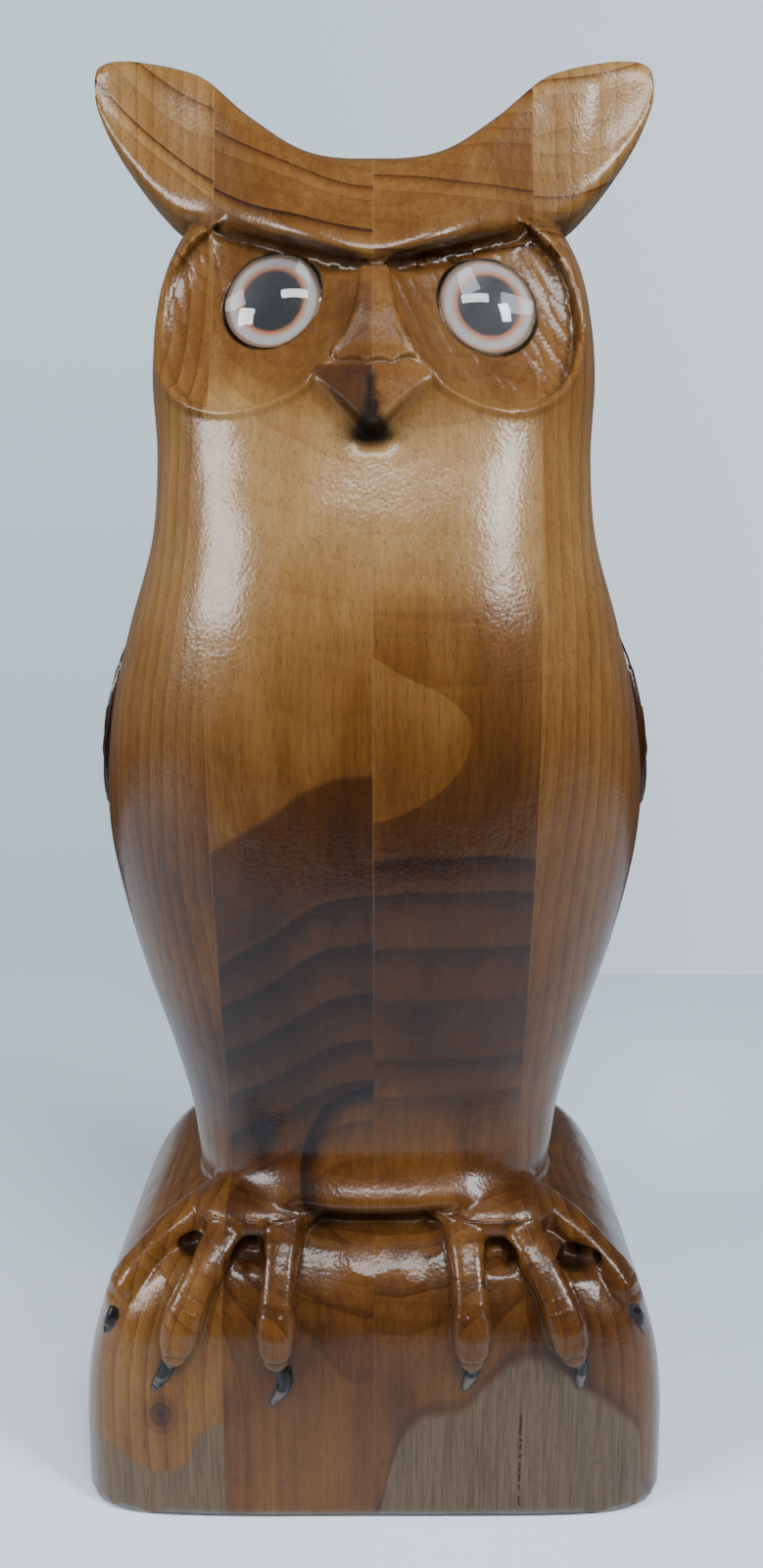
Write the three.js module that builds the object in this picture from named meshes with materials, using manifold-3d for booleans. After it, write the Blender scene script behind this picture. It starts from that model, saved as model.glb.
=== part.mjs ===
// A standing owl carved from one glued-up blank of walnut, with two domed glass eyes.
// Millimetres, +Z up. The owl looks along -Y. The origin is the centre of the flat underside.

import * as THREE from 'three';
import { ConvexGeometry } from 'three/addons/geometries/ConvexGeometry.js';
import { mergeVertices } from 'three/addons/utils/BufferGeometryUtils.js';
import Module from 'manifold-3d';

const wasm = await Module();
wasm.setup();

// The blank and the mound that is left standing under the feet.
const MOUND_HALF_WIDTH = 99.3;
const MOUND_HALF_DEPTH = 75;
const MOUND_HEIGHT = 100;
const MOUND_PLAN_POWER = 8;
const MOUND_SIDE = { start: 8, power: 3.2 };
const MOUND_FRONT = { start: 30, power: 3.6 };
const MOUND_FOOT_RISE = 2.5;
const MOUND_FOOT_INSET = 1.5;
const MOUND_LEVELS = [0, MOUND_FOOT_RISE, 20, 38, 52, 64, 74, 82, 88.6, 93.7, 97.8];
const MOUND_COLUMNS = 44;

// The trunk, by height: half width, front, widest plane and back.
const TRUNK_STATIONS = [
  { z: 88, half: 63, front: -47, mid: -4, back: 50, power: 2.2 },
  { z: 106, half: 64.5, front: -53, mid: -5, back: 49, power: 2.2 },
  { z: 122, half: 66.5, front: -51, mid: -6, back: 47, power: 2.2 },
  { z: 150, half: 73, front: -57, mid: -8, back: 47, power: 2.2 },
  { z: 185, half: 82.5, front: -65, mid: -10, back: 50, power: 2.2 },
  { z: 225, half: 89.6, front: -73.5, mid: -10, back: 54, power: 2.2 },
  { z: 260, half: 87.3, front: -78.5, mid: -10, back: 55, power: 2.2 },
  { z: 290, half: 80, front: -77.5, mid: -10, back: 52, power: 2.2 },
  { z: 318, half: 71.5, front: -71.5, mid: -10, back: 47, power: 2.3 },
  { z: 342, half: 69, front: -63.5, mid: -9, back: 46, power: 2.5 },
  { z: 368, half: 69.5, front: -57.5, mid: -8, back: 48, power: 2.7 },
  { z: 390, half: 67.5, front: -49, mid: -5, back: 48, power: 2.7 },
  { z: 404, half: 64.5, front: -39, mid: -1, back: 46, power: 2.6 },
  { z: 418, half: 59, front: -25, mid: 3, back: 41, power: 2.4 },
  { z: 425, half: 49, front: -16, mid: 6, back: 35, power: 2.3 },
];
const TRUNK_RINGS = 29;
const FRONT_COLUMNS = 30;
const BACK_COLUMNS = 14;
const CROWN_START = 400;
const CROWN_FALL = 0.2;

// The crown: forehead and ears in one leaf from ear tip to ear tip, by distance from the middle.
// Upper and lower edge, front of the lower edge, backward lean, thickness and squareness.
const CROWN_STATIONS = [
  { x: 0, top: 432, bottom: 396.5, brow: -47, lean: 0.72, thick: 56, power: 7 },
  { x: 20, top: 433.6, bottom: 402, brow: -42.5, lean: 0.66, thick: 46, power: 6.5 },
  { x: 38, top: 445.2, bottom: 408.5, brow: -30, lean: 0.4, thick: 34, power: 5.5 },
  { x: 52, top: 458, bottom: 414, brow: -18, lean: 0.24, thick: 28, power: 4.4 },
  { x: 62, top: 463.3, bottom: 418, brow: -11.5, lean: 0.22, thick: 25, power: 3.8 },
  { x: 70, top: 465.8, bottom: 425, brow: -6.5, lean: 0.22, thick: 21, power: 3.2 },
  { x: 78, top: 467, bottom: 434.5, brow: -2.5, lean: 0.2, thick: 17, power: 2.8 },
  { x: 84.4, top: 466.5, bottom: 444, brow: 0, lean: 0.2, thick: 12.5, power: 2.5 },
  { x: 87.9, top: 464, bottom: 452, brow: 1.5, lean: 0.2, thick: 8, power: 2.3 },
  { x: 88.9, top: 461, bottom: 456.5, brow: 2.5, lean: 0.2, thick: 3.5, power: 2.2 },
];
const CROWN_DISH = 2.4;
const CROWN_EAR = { from: 30, full: 50 };
const CROWN_DISH_THICK = 24;
const CROWN_SHEAR = 0.22;
const CROWN_SIDES = 16;
const CROWN_STEPS = 32;

// The face: two sunk facial discs that leave the nose bridge between them, and the beak.
const DISC = { y: -38.5, z: 385, halfDepth: 5.5, halfHeight: 34.5 };
const DISC_YAW = THREE.MathUtils.degToRad(20);
const DISC_PITCH = THREE.MathUtils.degToRad(24);
const DISC_STRETCH = 5;
const DISC_SIDES = 36;
const DISC_STEPS = 16;
const BEAK_TOP = { y: -61.5, z: 367 };
const BEAK_CORNER = { x: 17, y: -59.5, z: 364 };
const BEAK_TIP = { y: -71, z: 348 };
const BEAK_ROOT = { y: -50, zTop: 372, zBottom: 342 };
const FACE_SIDES = [
  { name: 'left', sign: -1, discX: 34.8, discHalf: 32.5, eyeX: 29.8, eyeZ: 387.2 },
  { name: 'right', sign: 1, discX: 33, discHalf: 29.5, eyeX: 34, eyeZ: 385.8 },
];

// The glass eyes: flat-backed domes, set in drilled sockets that face a little upward.
const EYE_RADIUS = 15;
const EYE_RIM = 2;
const EYE_DOME = 5;
const EYE_BACK_Y = -30.5;
const EYE_PITCH = THREE.MathUtils.degToRad(20);
const EYE_YAW = THREE.MathUtils.degToRad(14);
const EYE_SIDES = 28;
const EYE_DOME_STEPS = 5;
const SOCKET_DRILLING = 40;
const FIT_GAP = 0.3;

// The wings and the tail, raised panels that follow the trunk.
// Angles are in degrees around the trunk: 0 is the breast, 90 the side, 180 the back.
const WING_STATIONS = [
  { z: 127, from: 147, to: 153, proud: 3.5 },
  { z: 150, from: 131, to: 161, proud: 5.5 },
  { z: 175, from: 117, to: 165, proud: 6.5 },
  { z: 205, from: 105, to: 167, proud: 7.2 },
  { z: 235, from: 98, to: 167, proud: 7.6 },
  { z: 262, from: 97, to: 165, proud: 7.2 },
  { z: 290, from: 104, to: 157, proud: 6 },
  { z: 304, from: 114, to: 147, proud: 4.5 },
  { z: 312, from: 124, to: 134, proud: 3.5 },
];
const TAIL_STATIONS = [
  { z: 84, from: 157, to: 203, proud: 9 },
  { z: 115, from: 158, to: 202, proud: 8 },
  { z: 145, from: 162, to: 198, proud: 6.5 },
  { z: 166, from: 169, to: 191, proud: 4.5 },
  { z: 174, from: 175, to: 185, proud: 3.5 },
];
const PANEL_ROOT = 7;
const PANEL_THINNING = 0.35;
const WING_ACROSS = 7;
const WING_ALONG = 11;
const TAIL_ACROSS = 5;
const TAIL_ALONG = 5;

// The feet: three toes on each side, from root to tip, with a hooked claw at the end of each.
// The shoulder and hook of a claw are shares of its own sideways, forward and downward reach.
const TOES = [
  { path: [[29, -38, 96], [30, -60, 92.5], [31, -73, 78.5], [31.5, -76.5, 62]], claw: [2, -3, -11] },
  { path: [[41, -38, 96], [50, -58, 92], [59, -71, 78.5], [64.5, -75.5, 62]], claw: [-1, -2.5, -11] },
  { path: [[47, -33, 96], [66, -48, 91.5], [79, -56, 80.5], [86, -60, 67]], claw: [4, -1, -9] },
];
const TOE_STATIONS = [
  { t: 0, radius: 8.6 },
  { t: 0.35, radius: 7 },
  { t: 0.65, radius: 6.5 },
  { t: 0.88, radius: 7.1 },
  { t: 1, radius: 4.8 },
];
const TOE_SIDES = 8;
const TOE_STEPS = 7;
const TUBE_END_ROUNDING = 0.6;
const CLAW_SHOULDER = new THREE.Vector3(0.6, 1, 0.5);
const CLAW_HOOK = new THREE.Vector3(-0.3, 0.6, 1);
const CLAW_STATIONS = [
  { t: 0, radius: 2.52 },
  { t: 1, radius: 0.6 },
];
const CLAW_SIDES = 6;
const CLAW_STEPS = 3;

// The instep that each foot's toes spring from, and the slot cut under the breast between the feet.
const INSTEP = { x: 39, y: -44, z: 97, halfX: 22, halfY: 16, halfZ: 9, sides: 12, steps: 8 };
const UNDERCUT = { x: 2, y: -52, z: 95.5, halfX: 22, halfY: 11, halfZ: 2.2, sides: 16, steps: 6 };

// How close corners may come after joining: closer ones are welded, and flat triangles opened.
const WELD_SPAN = 0.004;
const SLIVER_LIMIT = 0.003;
const SLIVER_SHIFT = 0.006;

const WOOD = new THREE.MeshStandardMaterial({ color: 0x9a6430, roughness: 0.25, metalness: 0 });
const GLASS = new THREE.MeshStandardMaterial({ color: 0xd9dde0, roughness: 0.03, metalness: 0 });

/** A smooth curve of one value through stations, with the slope at each taken from its neighbours. */
function through(stations, at, value) {
  const knots = stations.map((station) => [station[at], station[value]]);
  const slope = (i) => {
    const before = knots[Math.max(i - 1, 0)];
    const after = knots[Math.min(i + 1, knots.length - 1)];
    return (after[1] - before[1]) / (after[0] - before[0]);
  };
  return (position) => {
    const clamped = THREE.MathUtils.clamp(position, knots[0][0], knots.at(-1)[0]);
    let i = knots.findIndex((knot) => knot[0] >= clamped) - 1;
    i = Math.max(i, 0);
    const span = knots[i + 1][0] - knots[i][0];
    const t = (clamped - knots[i][0]) / span;
    const rise = knots[i + 1][1] - knots[i][1];
    const m0 = slope(i) * span;
    const m1 = slope(i + 1) * span;
    return knots[i][1] + t * (m0 + t * (3 * rise - 2 * m0 - m1 + t * (m0 + m1 - 2 * rise)));
  };
}

/** A closed geometry with shared vertices and positions only. */
function welded(geometry) {
  const bare = geometry.index ? geometry.toNonIndexed() : geometry.clone();
  bare.deleteAttribute('normal');
  bare.deleteAttribute('uv');
  return mergeVertices(bare, 1e-4);
}

/** Moves every vertex of a template geometry by a function of its place. */
function reshaped(template, place) {
  const geometry = welded(template);
  const positions = geometry.attributes.position;
  const point = new THREE.Vector3();
  for (let i = 0; i < positions.count; i += 1) {
    point.fromBufferAttribute(positions, i);
    place(point);
    positions.setXYZ(i, point.x, point.y, point.z);
  }
  return geometry;
}

/** A geometry as a manifold solid, turned inside out first if its faces point inward. */
function solid(geometry) {
  const shell = welded(geometry);
  const positions = shell.attributes.position.array;
  const triangles = Uint32Array.from(shell.index.array);
  const corner = (i) => new THREE.Vector3().fromArray(positions, 3 * triangles[i]);
  let volume = 0;
  for (let i = 0; i < triangles.length; i += 3) {
    volume += corner(i).dot(corner(i + 1).cross(corner(i + 2)));
  }
  if (volume < 0) {
    for (let i = 0; i < triangles.length; i += 3) {
      [triangles[i], triangles[i + 1]] = [triangles[i + 1], triangles[i]];
    }
  }
  const mesh = new wasm.Mesh({
    numProp: 3,
    vertProperties: Float32Array.from(positions),
    triVerts: triangles,
  });
  return new wasm.Manifold(mesh);
}

/** Drops the triangles that welding has closed to a line. */
function withoutCollapsed(geometry) {
  const index = geometry.index.array;
  const kept = [];
  for (let i = 0; i < index.length; i += 3) {
    const [a, b, c] = index.slice(i, i + 3);
    if (a !== b && b !== c && c !== a) {
      kept.push(a, b, c);
    }
  }
  geometry.setIndex(kept);
  return geometry;
}

/** Moves each corner that lies almost on the edge opposite to it a few micrometres off that edge. */
function withoutSlivers(geometry) {
  const positions = geometry.attributes.position;
  const index = geometry.index.array;
  const vertex = (i) => new THREE.Vector3().fromBufferAttribute(positions, i);
  for (let i = 0; i < index.length; i += 3) {
    const [p, q, r] = index.slice(i, i + 3);
    const span = ([, from, to]) => vertex(from).distanceTo(vertex(to));
    const [a, b, c] = [[p, q, r], [q, r, p], [r, p, q]].sort((one, two) => span(two) - span(one))[0];
    const edge = new THREE.Line3(vertex(b), vertex(c));
    const away = vertex(a).sub(edge.closestPointToPoint(vertex(a), true, new THREE.Vector3()));
    if (away.length() < SLIVER_LIMIT) {
      const moved = vertex(a).add(away.setLength(SLIVER_SHIFT));
      positions.setXYZ(a, moved.x, moved.y, moved.z);
    }
  }
  return geometry;
}

/** A named mesh made from a manifold solid. */
function meshFrom(name, manifold, material) {
  const result = manifold.getMesh();
  const joined = new THREE.BufferGeometry();
  joined.setAttribute('position', new THREE.BufferAttribute(result.vertProperties, 3));
  joined.setIndex(new THREE.BufferAttribute(result.triVerts, 1));
  const geometry = withoutSlivers(withoutCollapsed(mergeVertices(joined, WELD_SPAN)));
  geometry.computeVertexNormals();
  const mesh = new THREE.Mesh(geometry, material);
  mesh.name = name;
  return mesh;
}

/** One coordinate of a superellipse of half size 1 at an angle given by its sine or cosine. */
function bulge(value, power) {
  return Math.sign(value) * Math.abs(value) ** (2 / power);
}

const trunkHalf = through(TRUNK_STATIONS, 'z', 'half');
const trunkFront = through(TRUNK_STATIONS, 'z', 'front');
const trunkMid = through(TRUNK_STATIONS, 'z', 'mid');
const trunkBack = through(TRUNK_STATIONS, 'z', 'back');
const trunkPower = through(TRUNK_STATIONS, 'z', 'power');

/** The point of the plain trunk at a height and an angle from the breast, and its outward normal. */
function trunkPoint(angle, z) {
  const half = trunkHalf(z);
  const mid = trunkMid(z);
  const depth = Math.cos(angle) > 0 ? mid - trunkFront(z) : trunkBack(z) - mid;
  const power = trunkPower(z);
  const across = bulge(Math.sin(angle), power);
  const along = -bulge(Math.cos(angle), power);
  const point = new THREE.Vector3(half * across, mid + depth * along, z);
  const normal = new THREE.Vector3(
    (Math.sign(across) * Math.abs(across) ** (power - 1)) / half,
    (Math.sign(along) * Math.abs(along) ** (power - 1)) / depth,
    0,
  );
  return { point, normal: normal.normalize() };
}

/** Body and head in one: a tube of superellipse rings, its top falling toward the nape. */
function trunk() {
  const low = TRUNK_STATIONS[0].z;
  const high = TRUNK_STATIONS.at(-1).z;
  const columns = FRONT_COLUMNS + BACK_COLUMNS;
  const template = new THREE.CylinderGeometry(1, 1, 1, columns, TRUNK_RINGS);
  return reshaped(template, (point) => {
    const level = low + (high - low) * (point.y + 0.5);
    const radius = Math.hypot(point.x, point.z);
    const turn = (Math.atan2(point.x, point.z) / (2 * Math.PI)) * columns;
    const halfFront = FRONT_COLUMNS / 2;
    const angle = Math.abs(turn) <= halfFront
      ? (turn / halfFront) * (Math.PI / 2)
      : Math.sign(turn) * (Math.PI / 2) * (1 + (Math.abs(turn) - halfFront) / (BACK_COLUMNS / 2));
    if (radius < 0.5) {
      point.set(0, trunkMid(level), level);
    } else {
      point.copy(trunkPoint(angle, level).point);
    }
    const crown = THREE.MathUtils.smoothstep(level, CROWN_START, high);
    point.z -= crown * CROWN_FALL * Math.max(0, point.y - trunkFront(level));
  });
}

/** The share of its full size that the mound keeps at a height, on one of its profiles. */
function moundShare(z, { start, power }) {
  const rise = Math.max(0, z - start) / (MOUND_HEIGHT - start);
  return (1 - rise ** power) ** (1 / power);
}

/** The mound: a loaf with nearly upright walls and a rounded top. */
function mound() {
  const steps = MOUND_LEVELS.length - 1;
  const template = new THREE.CylinderGeometry(1, 1, 1, MOUND_COLUMNS, steps);
  return reshaped(template, (point) => {
    const z = MOUND_LEVELS[Math.round((point.y + 0.5) * steps)];
    const radius = Math.hypot(point.x, point.z);
    const angle = Math.atan2(point.x, point.z);
    const inset = z < MOUND_FOOT_RISE ? MOUND_FOOT_INSET : 0;
    const half = MOUND_HALF_WIDTH * moundShare(z, MOUND_SIDE) - inset;
    const depth = MOUND_HALF_DEPTH * moundShare(z, MOUND_FRONT) - inset;
    const x = radius * half * bulge(Math.sin(angle), MOUND_PLAN_POWER);
    const y = -radius * depth * bulge(Math.cos(angle), MOUND_PLAN_POWER);
    point.set(x, y, z);
  });
}

/** Forehead and ears: a leaf lofted from ear tip to ear tip, each ear's front face dished. */
function crown() {
  const mirrored = { ...CROWN_STATIONS[1], x: -CROWN_STATIONS[1].x };
  const edge = (value) => through([mirrored, ...CROWN_STATIONS], 'x', value);
  const [top, bottom, brow] = [edge('top'), edge('bottom'), edge('brow')];
  const [lean, thick, power] = [edge('lean'), edge('thick'), edge('power')];
  const reach = CROWN_STATIONS.at(-1).x;
  const template = new THREE.CylinderGeometry(1, 1, 1, CROWN_SIDES, CROWN_STEPS);
  return reshaped(template, (point) => {
    const x = reach * Math.sin(point.y * Math.PI);
    const away = Math.abs(x);
    const radius = Math.hypot(point.x, point.z);
    const angle = Math.atan2(point.x, point.z);
    const up = radius * bulge(Math.sin(angle), power(away));
    const back = radius * bulge(Math.cos(angle), power(away));
    const z = (top(away) + bottom(away) + up * (top(away) - bottom(away))) / 2;
    const front = brow(away) + lean(away) * (z - bottom(away));
    const onEar = THREE.MathUtils.smoothstep(away, CROWN_EAR.from, CROWN_EAR.full);
    const dish = CROWN_DISH * onEar * Math.min(1, thick(away) / CROWN_DISH_THICK);
    const hollow = back < 0 ? dish * Math.max(0, 1 - up * up) : 0;
    const depth = (thick(away) * (1 + back)) / 2;
    const shear = up < 0 ? CROWN_SHEAR * onEar * up * depth : 0;
    point.set(x, front + depth + hollow, z + shear);
  });
}

/** The beak: a short hooked wedge with a ridge down its middle. */
function beak() {
  return new ConvexGeometry([
    new THREE.Vector3(-BEAK_CORNER.x, BEAK_CORNER.y, BEAK_CORNER.z),
    new THREE.Vector3(BEAK_CORNER.x, BEAK_CORNER.y, BEAK_CORNER.z),
    new THREE.Vector3(0, BEAK_TOP.y, BEAK_TOP.z),
    new THREE.Vector3(0, BEAK_TIP.y, BEAK_TIP.z),
    new THREE.Vector3(0, BEAK_ROOT.y, BEAK_ROOT.zTop),
    new THREE.Vector3(0, BEAK_ROOT.y, BEAK_ROOT.zBottom),
  ]);
}

/** A raised panel that follows the trunk between two edges, its root sunk in the wood. */
function panel(stations, across, along, sign) {
  const from = through(stations, 'z', 'from');
  const to = through(stations, 'z', 'to');
  const proud = through(stations, 'z', 'proud');
  const low = stations[0].z;
  const high = stations.at(-1).z;
  const template = new THREE.BoxGeometry(1, 1, 1, across, 1, along);
  return reshaped(template, (point) => {
    const z = low + (high - low) * (point.z + 0.5);
    const share = point.x + 0.5;
    const degrees = THREE.MathUtils.lerp(from(z), to(z), share);
    const { point: base, normal } = trunkPoint(THREE.MathUtils.degToRad(degrees), z);
    const lift = point.y > 0 ? proud(z) * (1 - PANEL_THINNING * share) : -PANEL_ROOT;
    base.addScaledVector(normal, lift);
    point.set(sign * base.x, base.y, base.z);
  });
}

/** A tube along a curve whose radius changes on the way, with rounded ends. */
function taperedTube(curve, radiusAt, sides, steps) {
  const frames = curve.computeFrenetFrames(steps, false);
  const template = new THREE.CylinderGeometry(1, 1, 1, sides, steps);
  return reshaped(template, (point) => {
    const step = Math.round((point.y + 0.5) * steps);
    const t = step / steps;
    const middle = curve.getPointAt(t);
    const radius = radiusAt(t);
    const offset = frames.normals[step].clone().multiplyScalar(point.x * radius);
    offset.addScaledVector(frames.binormals[step], point.z * radius);
    if (Math.hypot(point.x, point.z) < 0.5) {
      const outward = step === 0 ? -1 : 1;
      offset.addScaledVector(frames.tangents[step], outward * radius * TUBE_END_ROUNDING);
    }
    point.copy(middle).add(offset);
  });
}

/** One toe with its claw, both as solids, on the side given by the sign. */
function toeSolids(toe, sign) {
  const onSide = ([x, y, z]) => new THREE.Vector3(sign * x, y, z);
  const points = toe.path.map(onSide);
  const tip = points.at(-1);
  const reach = onSide(toe.claw);
  const hook = [CLAW_SHOULDER, CLAW_HOOK].map((share) => reach.clone().multiply(share).add(tip));
  const toeCurve = new THREE.CatmullRomCurve3(points);
  const clawCurve = new THREE.CatmullRomCurve3([tip, ...hook]);
  const toeRadius = through(TOE_STATIONS, 't', 'radius');
  const clawRadius = through(CLAW_STATIONS, 't', 'radius');
  return [
    solid(taperedTube(toeCurve, toeRadius, TOE_SIDES, TOE_STEPS)),
    solid(taperedTube(clawCurve, clawRadius, CLAW_SIDES, CLAW_STEPS)),
  ];
}

/** An ellipsoid given by its centre, half sizes and fineness, on the side given by the sign. */
function ellipsoid({ x, y, z, halfX, halfY, halfZ, sides, steps }, sign) {
  const geometry = new THREE.SphereGeometry(1, sides, steps);
  geometry.scale(halfX, halfY, halfZ);
  geometry.translate(sign * x, y, z);
  return geometry;
}

/** Turns a shape made along the Z axis to face forward, a little upward and outward. */
function facingOut(geometry, sign, pitch, yaw, place) {
  geometry.applyMatrix4(new THREE.Matrix4().makeRotationX(Math.PI / 2 - pitch));
  geometry.applyMatrix4(new THREE.Matrix4().makeRotationZ(sign * yaw));
  geometry.translate(sign * place.x, place.y, place.z);
  return geometry;
}

/** The middle of the flat back of one eye. */
function eyePlace(side) {
  return { x: side.eyeX, y: EYE_BACK_Y, z: side.eyeZ };
}

/** The cutter of one facial disc: half an ellipsoid behind, stretched far out in front. */
function discCutter(side) {
  const geometry = reshaped(new THREE.SphereGeometry(1, DISC_SIDES, DISC_STEPS), (point) => {
    point.z *= point.z > 0 ? DISC_STRETCH : 1;
    point.multiply(new THREE.Vector3(side.discHalf, DISC.halfHeight, DISC.halfDepth));
  });
  const place = { x: side.discX, y: DISC.y, z: DISC.z };
  return facingOut(geometry, side.sign, DISC_PITCH, DISC_YAW, place);
}

/** The dome of one eye: flat back at zero, a short rim and a spherical cap. */
function eyeDome(side) {
  const profile = [new THREE.Vector2(0, 0), new THREE.Vector2(EYE_RADIUS, 0)];
  const capRadius = (EYE_RADIUS ** 2 + EYE_DOME ** 2) / (2 * EYE_DOME);
  const sweep = Math.asin(EYE_RADIUS / capRadius);
  for (let i = 0; i <= EYE_DOME_STEPS; i += 1) {
    const angle = sweep * (1 - i / EYE_DOME_STEPS);
    const height = EYE_RIM + EYE_DOME - capRadius * (1 - Math.cos(angle));
    profile.push(new THREE.Vector2(i === EYE_DOME_STEPS ? 0 : capRadius * Math.sin(angle), height));
  }
  const geometry = new THREE.LatheGeometry(profile, EYE_SIDES);
  geometry.rotateX(Math.PI / 2);
  return facingOut(geometry, side.sign, EYE_PITCH, EYE_YAW, eyePlace(side));
}

/** The drilled socket of one eye, open to the front. */
function eyeSocket(side) {
  const radius = EYE_RADIUS + FIT_GAP;
  const geometry = new THREE.CylinderGeometry(radius, radius, SOCKET_DRILLING, EYE_SIDES);
  geometry.rotateX(Math.PI / 2);
  geometry.translate(0, 0, SOCKET_DRILLING / 2 - FIT_GAP);
  return facingOut(geometry, side.sign, EYE_PITCH, EYE_YAW, eyePlace(side));
}

/** The whole carving as one solid. */
function carving() {
  let body = solid(trunk());
  for (const side of FACE_SIDES) {
    body = body.subtract(solid(discCutter(side)));
  }
  const tail = panel(TAIL_STATIONS, TAIL_ACROSS, TAIL_ALONG, 1);
  for (const piece of [mound(), crown(), beak(), tail]) {
    body = body.add(solid(piece));
  }
  for (const sign of [-1, 1]) {
    body = body.add(solid(panel(WING_STATIONS, WING_ACROSS, WING_ALONG, sign)));
    body = body.add(solid(ellipsoid(INSTEP, sign)));
    for (const toe of TOES) {
      for (const piece of toeSolids(toe, sign)) {
        body = body.add(piece);
      }
    }
  }
  for (const side of FACE_SIDES) {
    body = body.subtract(solid(eyeSocket(side)));
  }
  return body.subtract(solid(ellipsoid(UNDERCUT, 1)));
}

const group = new THREE.Group();
group.name = 'carved_owl';
group.add(meshFrom('owl_carving', carving(), WOOD));
for (const side of FACE_SIDES) {
  group.add(meshFrom(`eye_${side.name}`, solid(eyeDome(side)), GLASS));
}

export default group;
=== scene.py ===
"""A standing owl carved from one glued-up walnut blank, with two domed glass eyes.

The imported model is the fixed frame. The carving's fine surface is grown on a copy of its solid,
drawn onto the smooth form that the solid's named sizes describe, with the tool work cut into it.
Sizes are in millimetres up to the last step, which turns them into the frame's metres.
"""

import logging
import math
from collections.abc import Callable, Sequence
from dataclasses import dataclass, field
from enum import Enum

import bmesh
import bpy
import numpy as np
from mathutils import Matrix, Vector


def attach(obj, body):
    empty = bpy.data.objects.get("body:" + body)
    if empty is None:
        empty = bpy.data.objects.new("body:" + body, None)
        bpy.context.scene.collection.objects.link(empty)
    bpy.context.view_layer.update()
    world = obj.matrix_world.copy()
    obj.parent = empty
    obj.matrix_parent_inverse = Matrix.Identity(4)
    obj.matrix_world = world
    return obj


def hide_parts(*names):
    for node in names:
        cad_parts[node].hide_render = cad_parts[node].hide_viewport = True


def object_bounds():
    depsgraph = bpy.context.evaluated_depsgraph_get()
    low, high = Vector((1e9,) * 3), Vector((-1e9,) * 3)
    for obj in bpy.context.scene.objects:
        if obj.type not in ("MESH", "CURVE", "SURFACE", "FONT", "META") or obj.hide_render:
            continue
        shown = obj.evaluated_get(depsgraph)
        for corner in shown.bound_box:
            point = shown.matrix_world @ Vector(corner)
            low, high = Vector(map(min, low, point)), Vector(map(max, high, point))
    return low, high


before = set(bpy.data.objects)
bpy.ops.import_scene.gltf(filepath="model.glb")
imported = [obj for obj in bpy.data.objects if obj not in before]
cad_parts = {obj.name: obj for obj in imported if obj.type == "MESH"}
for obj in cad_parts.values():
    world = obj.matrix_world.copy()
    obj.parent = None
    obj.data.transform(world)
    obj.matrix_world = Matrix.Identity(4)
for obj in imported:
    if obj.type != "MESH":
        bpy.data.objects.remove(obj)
SOLID_BOX = [list(corner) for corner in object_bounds()]

log = logging.getLogger("carved_owl")

MM = 0.001

METRIC_STEP = 0.05
LEAST_SLOPE = 1e-8

Array = np.ndarray
Field = Callable[[Array], Array]
Rows = Sequence[tuple[float, ...]]


# Plain tools for smooth forms


def smooth_step(value: Array, low: float, high: float) -> Array:
    """Rises smoothly from 0 at low to 1 at high."""
    t = np.clip((value - low) / (high - low), 0.0, 1.0)
    return t * t * (3.0 - 2.0 * t)


def melt(one: Array, two: Array, radius: float) -> Array:
    """Joins two distance fields with a fillet of about the given radius."""
    h = np.clip(0.5 + 0.5 * (two - one) / radius, 0.0, 1.0)
    return two + (one - two) * h - radius * h * (1.0 - h)


def cut(body: Array, cutter: Array, radius: float) -> Array:
    """Takes a cutter's field out of a body's field, with a rounded edge."""
    return -melt(-body, cutter, radius)


def dip(value: Array, width: float) -> Array:
    """A round-bottomed bell, 1 at zero and fading over the width on each side."""
    return np.exp(-((value / width) ** 2))


def slope_of(shape: Field, points: Array, step: float) -> tuple[Array, Array]:
    """Measures a field's slope.

    Args:
        shape: The field.
        points: Points, one row each.
        step: Distance over which the slope is measured.

    Returns:
        The field's values, and its slope along each axis.
    """
    value = shape(points)
    slope = np.zeros_like(points)
    for axis in range(3):
        moved = points.copy()
        moved[:, axis] += step
        slope[:, axis] = (shape(moved) - value) / step
    return value, slope


def metric(shape: Field, points: Array) -> Array:
    """Turns any field that is zero on a surface into about the distance from it."""
    value, slope = slope_of(shape, points, METRIC_STEP)
    return value / np.sqrt(np.maximum((slope**2).sum(axis=1), LEAST_SLOPE))


class Profile:
    """A smooth curve of one value through stations, its slopes taken from the neighbours."""

    def __init__(self, at: list[float], value: list[float]) -> None:
        """Keeps the stations and works out the slope at each."""
        self.at = np.array(at, float)
        self.value = np.array(value, float)
        last = len(at) - 1
        before = np.maximum(np.arange(last + 1) - 1, 0)
        after = np.minimum(np.arange(last + 1) + 1, last)
        self.slope = (self.value[after] - self.value[before]) / (self.at[after] - self.at[before])

    def __call__(self, position: Array) -> Array:
        """Reads the curve at each position, held at its ends."""
        held = np.clip(position, self.at[0], self.at[-1])
        i = np.clip(np.searchsorted(self.at, held) - 1, 0, len(self.at) - 2)
        span = self.at[i + 1] - self.at[i]
        t = (held - self.at[i]) / span
        rise = self.value[i + 1] - self.value[i]
        start = self.slope[i] * span
        end = self.slope[i + 1] * span
        bend = 3.0 * rise - 2.0 * start - end + t * (start + end - 2.0 * rise)
        return self.value[i] + t * (start + t * bend)


def profiles(rows: Rows) -> list[Profile]:
    """One profile for each column after the first, which holds the stations."""
    columns = list(zip(*rows))
    return [Profile(list(columns[0]), list(column)) for column in columns[1:]]


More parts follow.
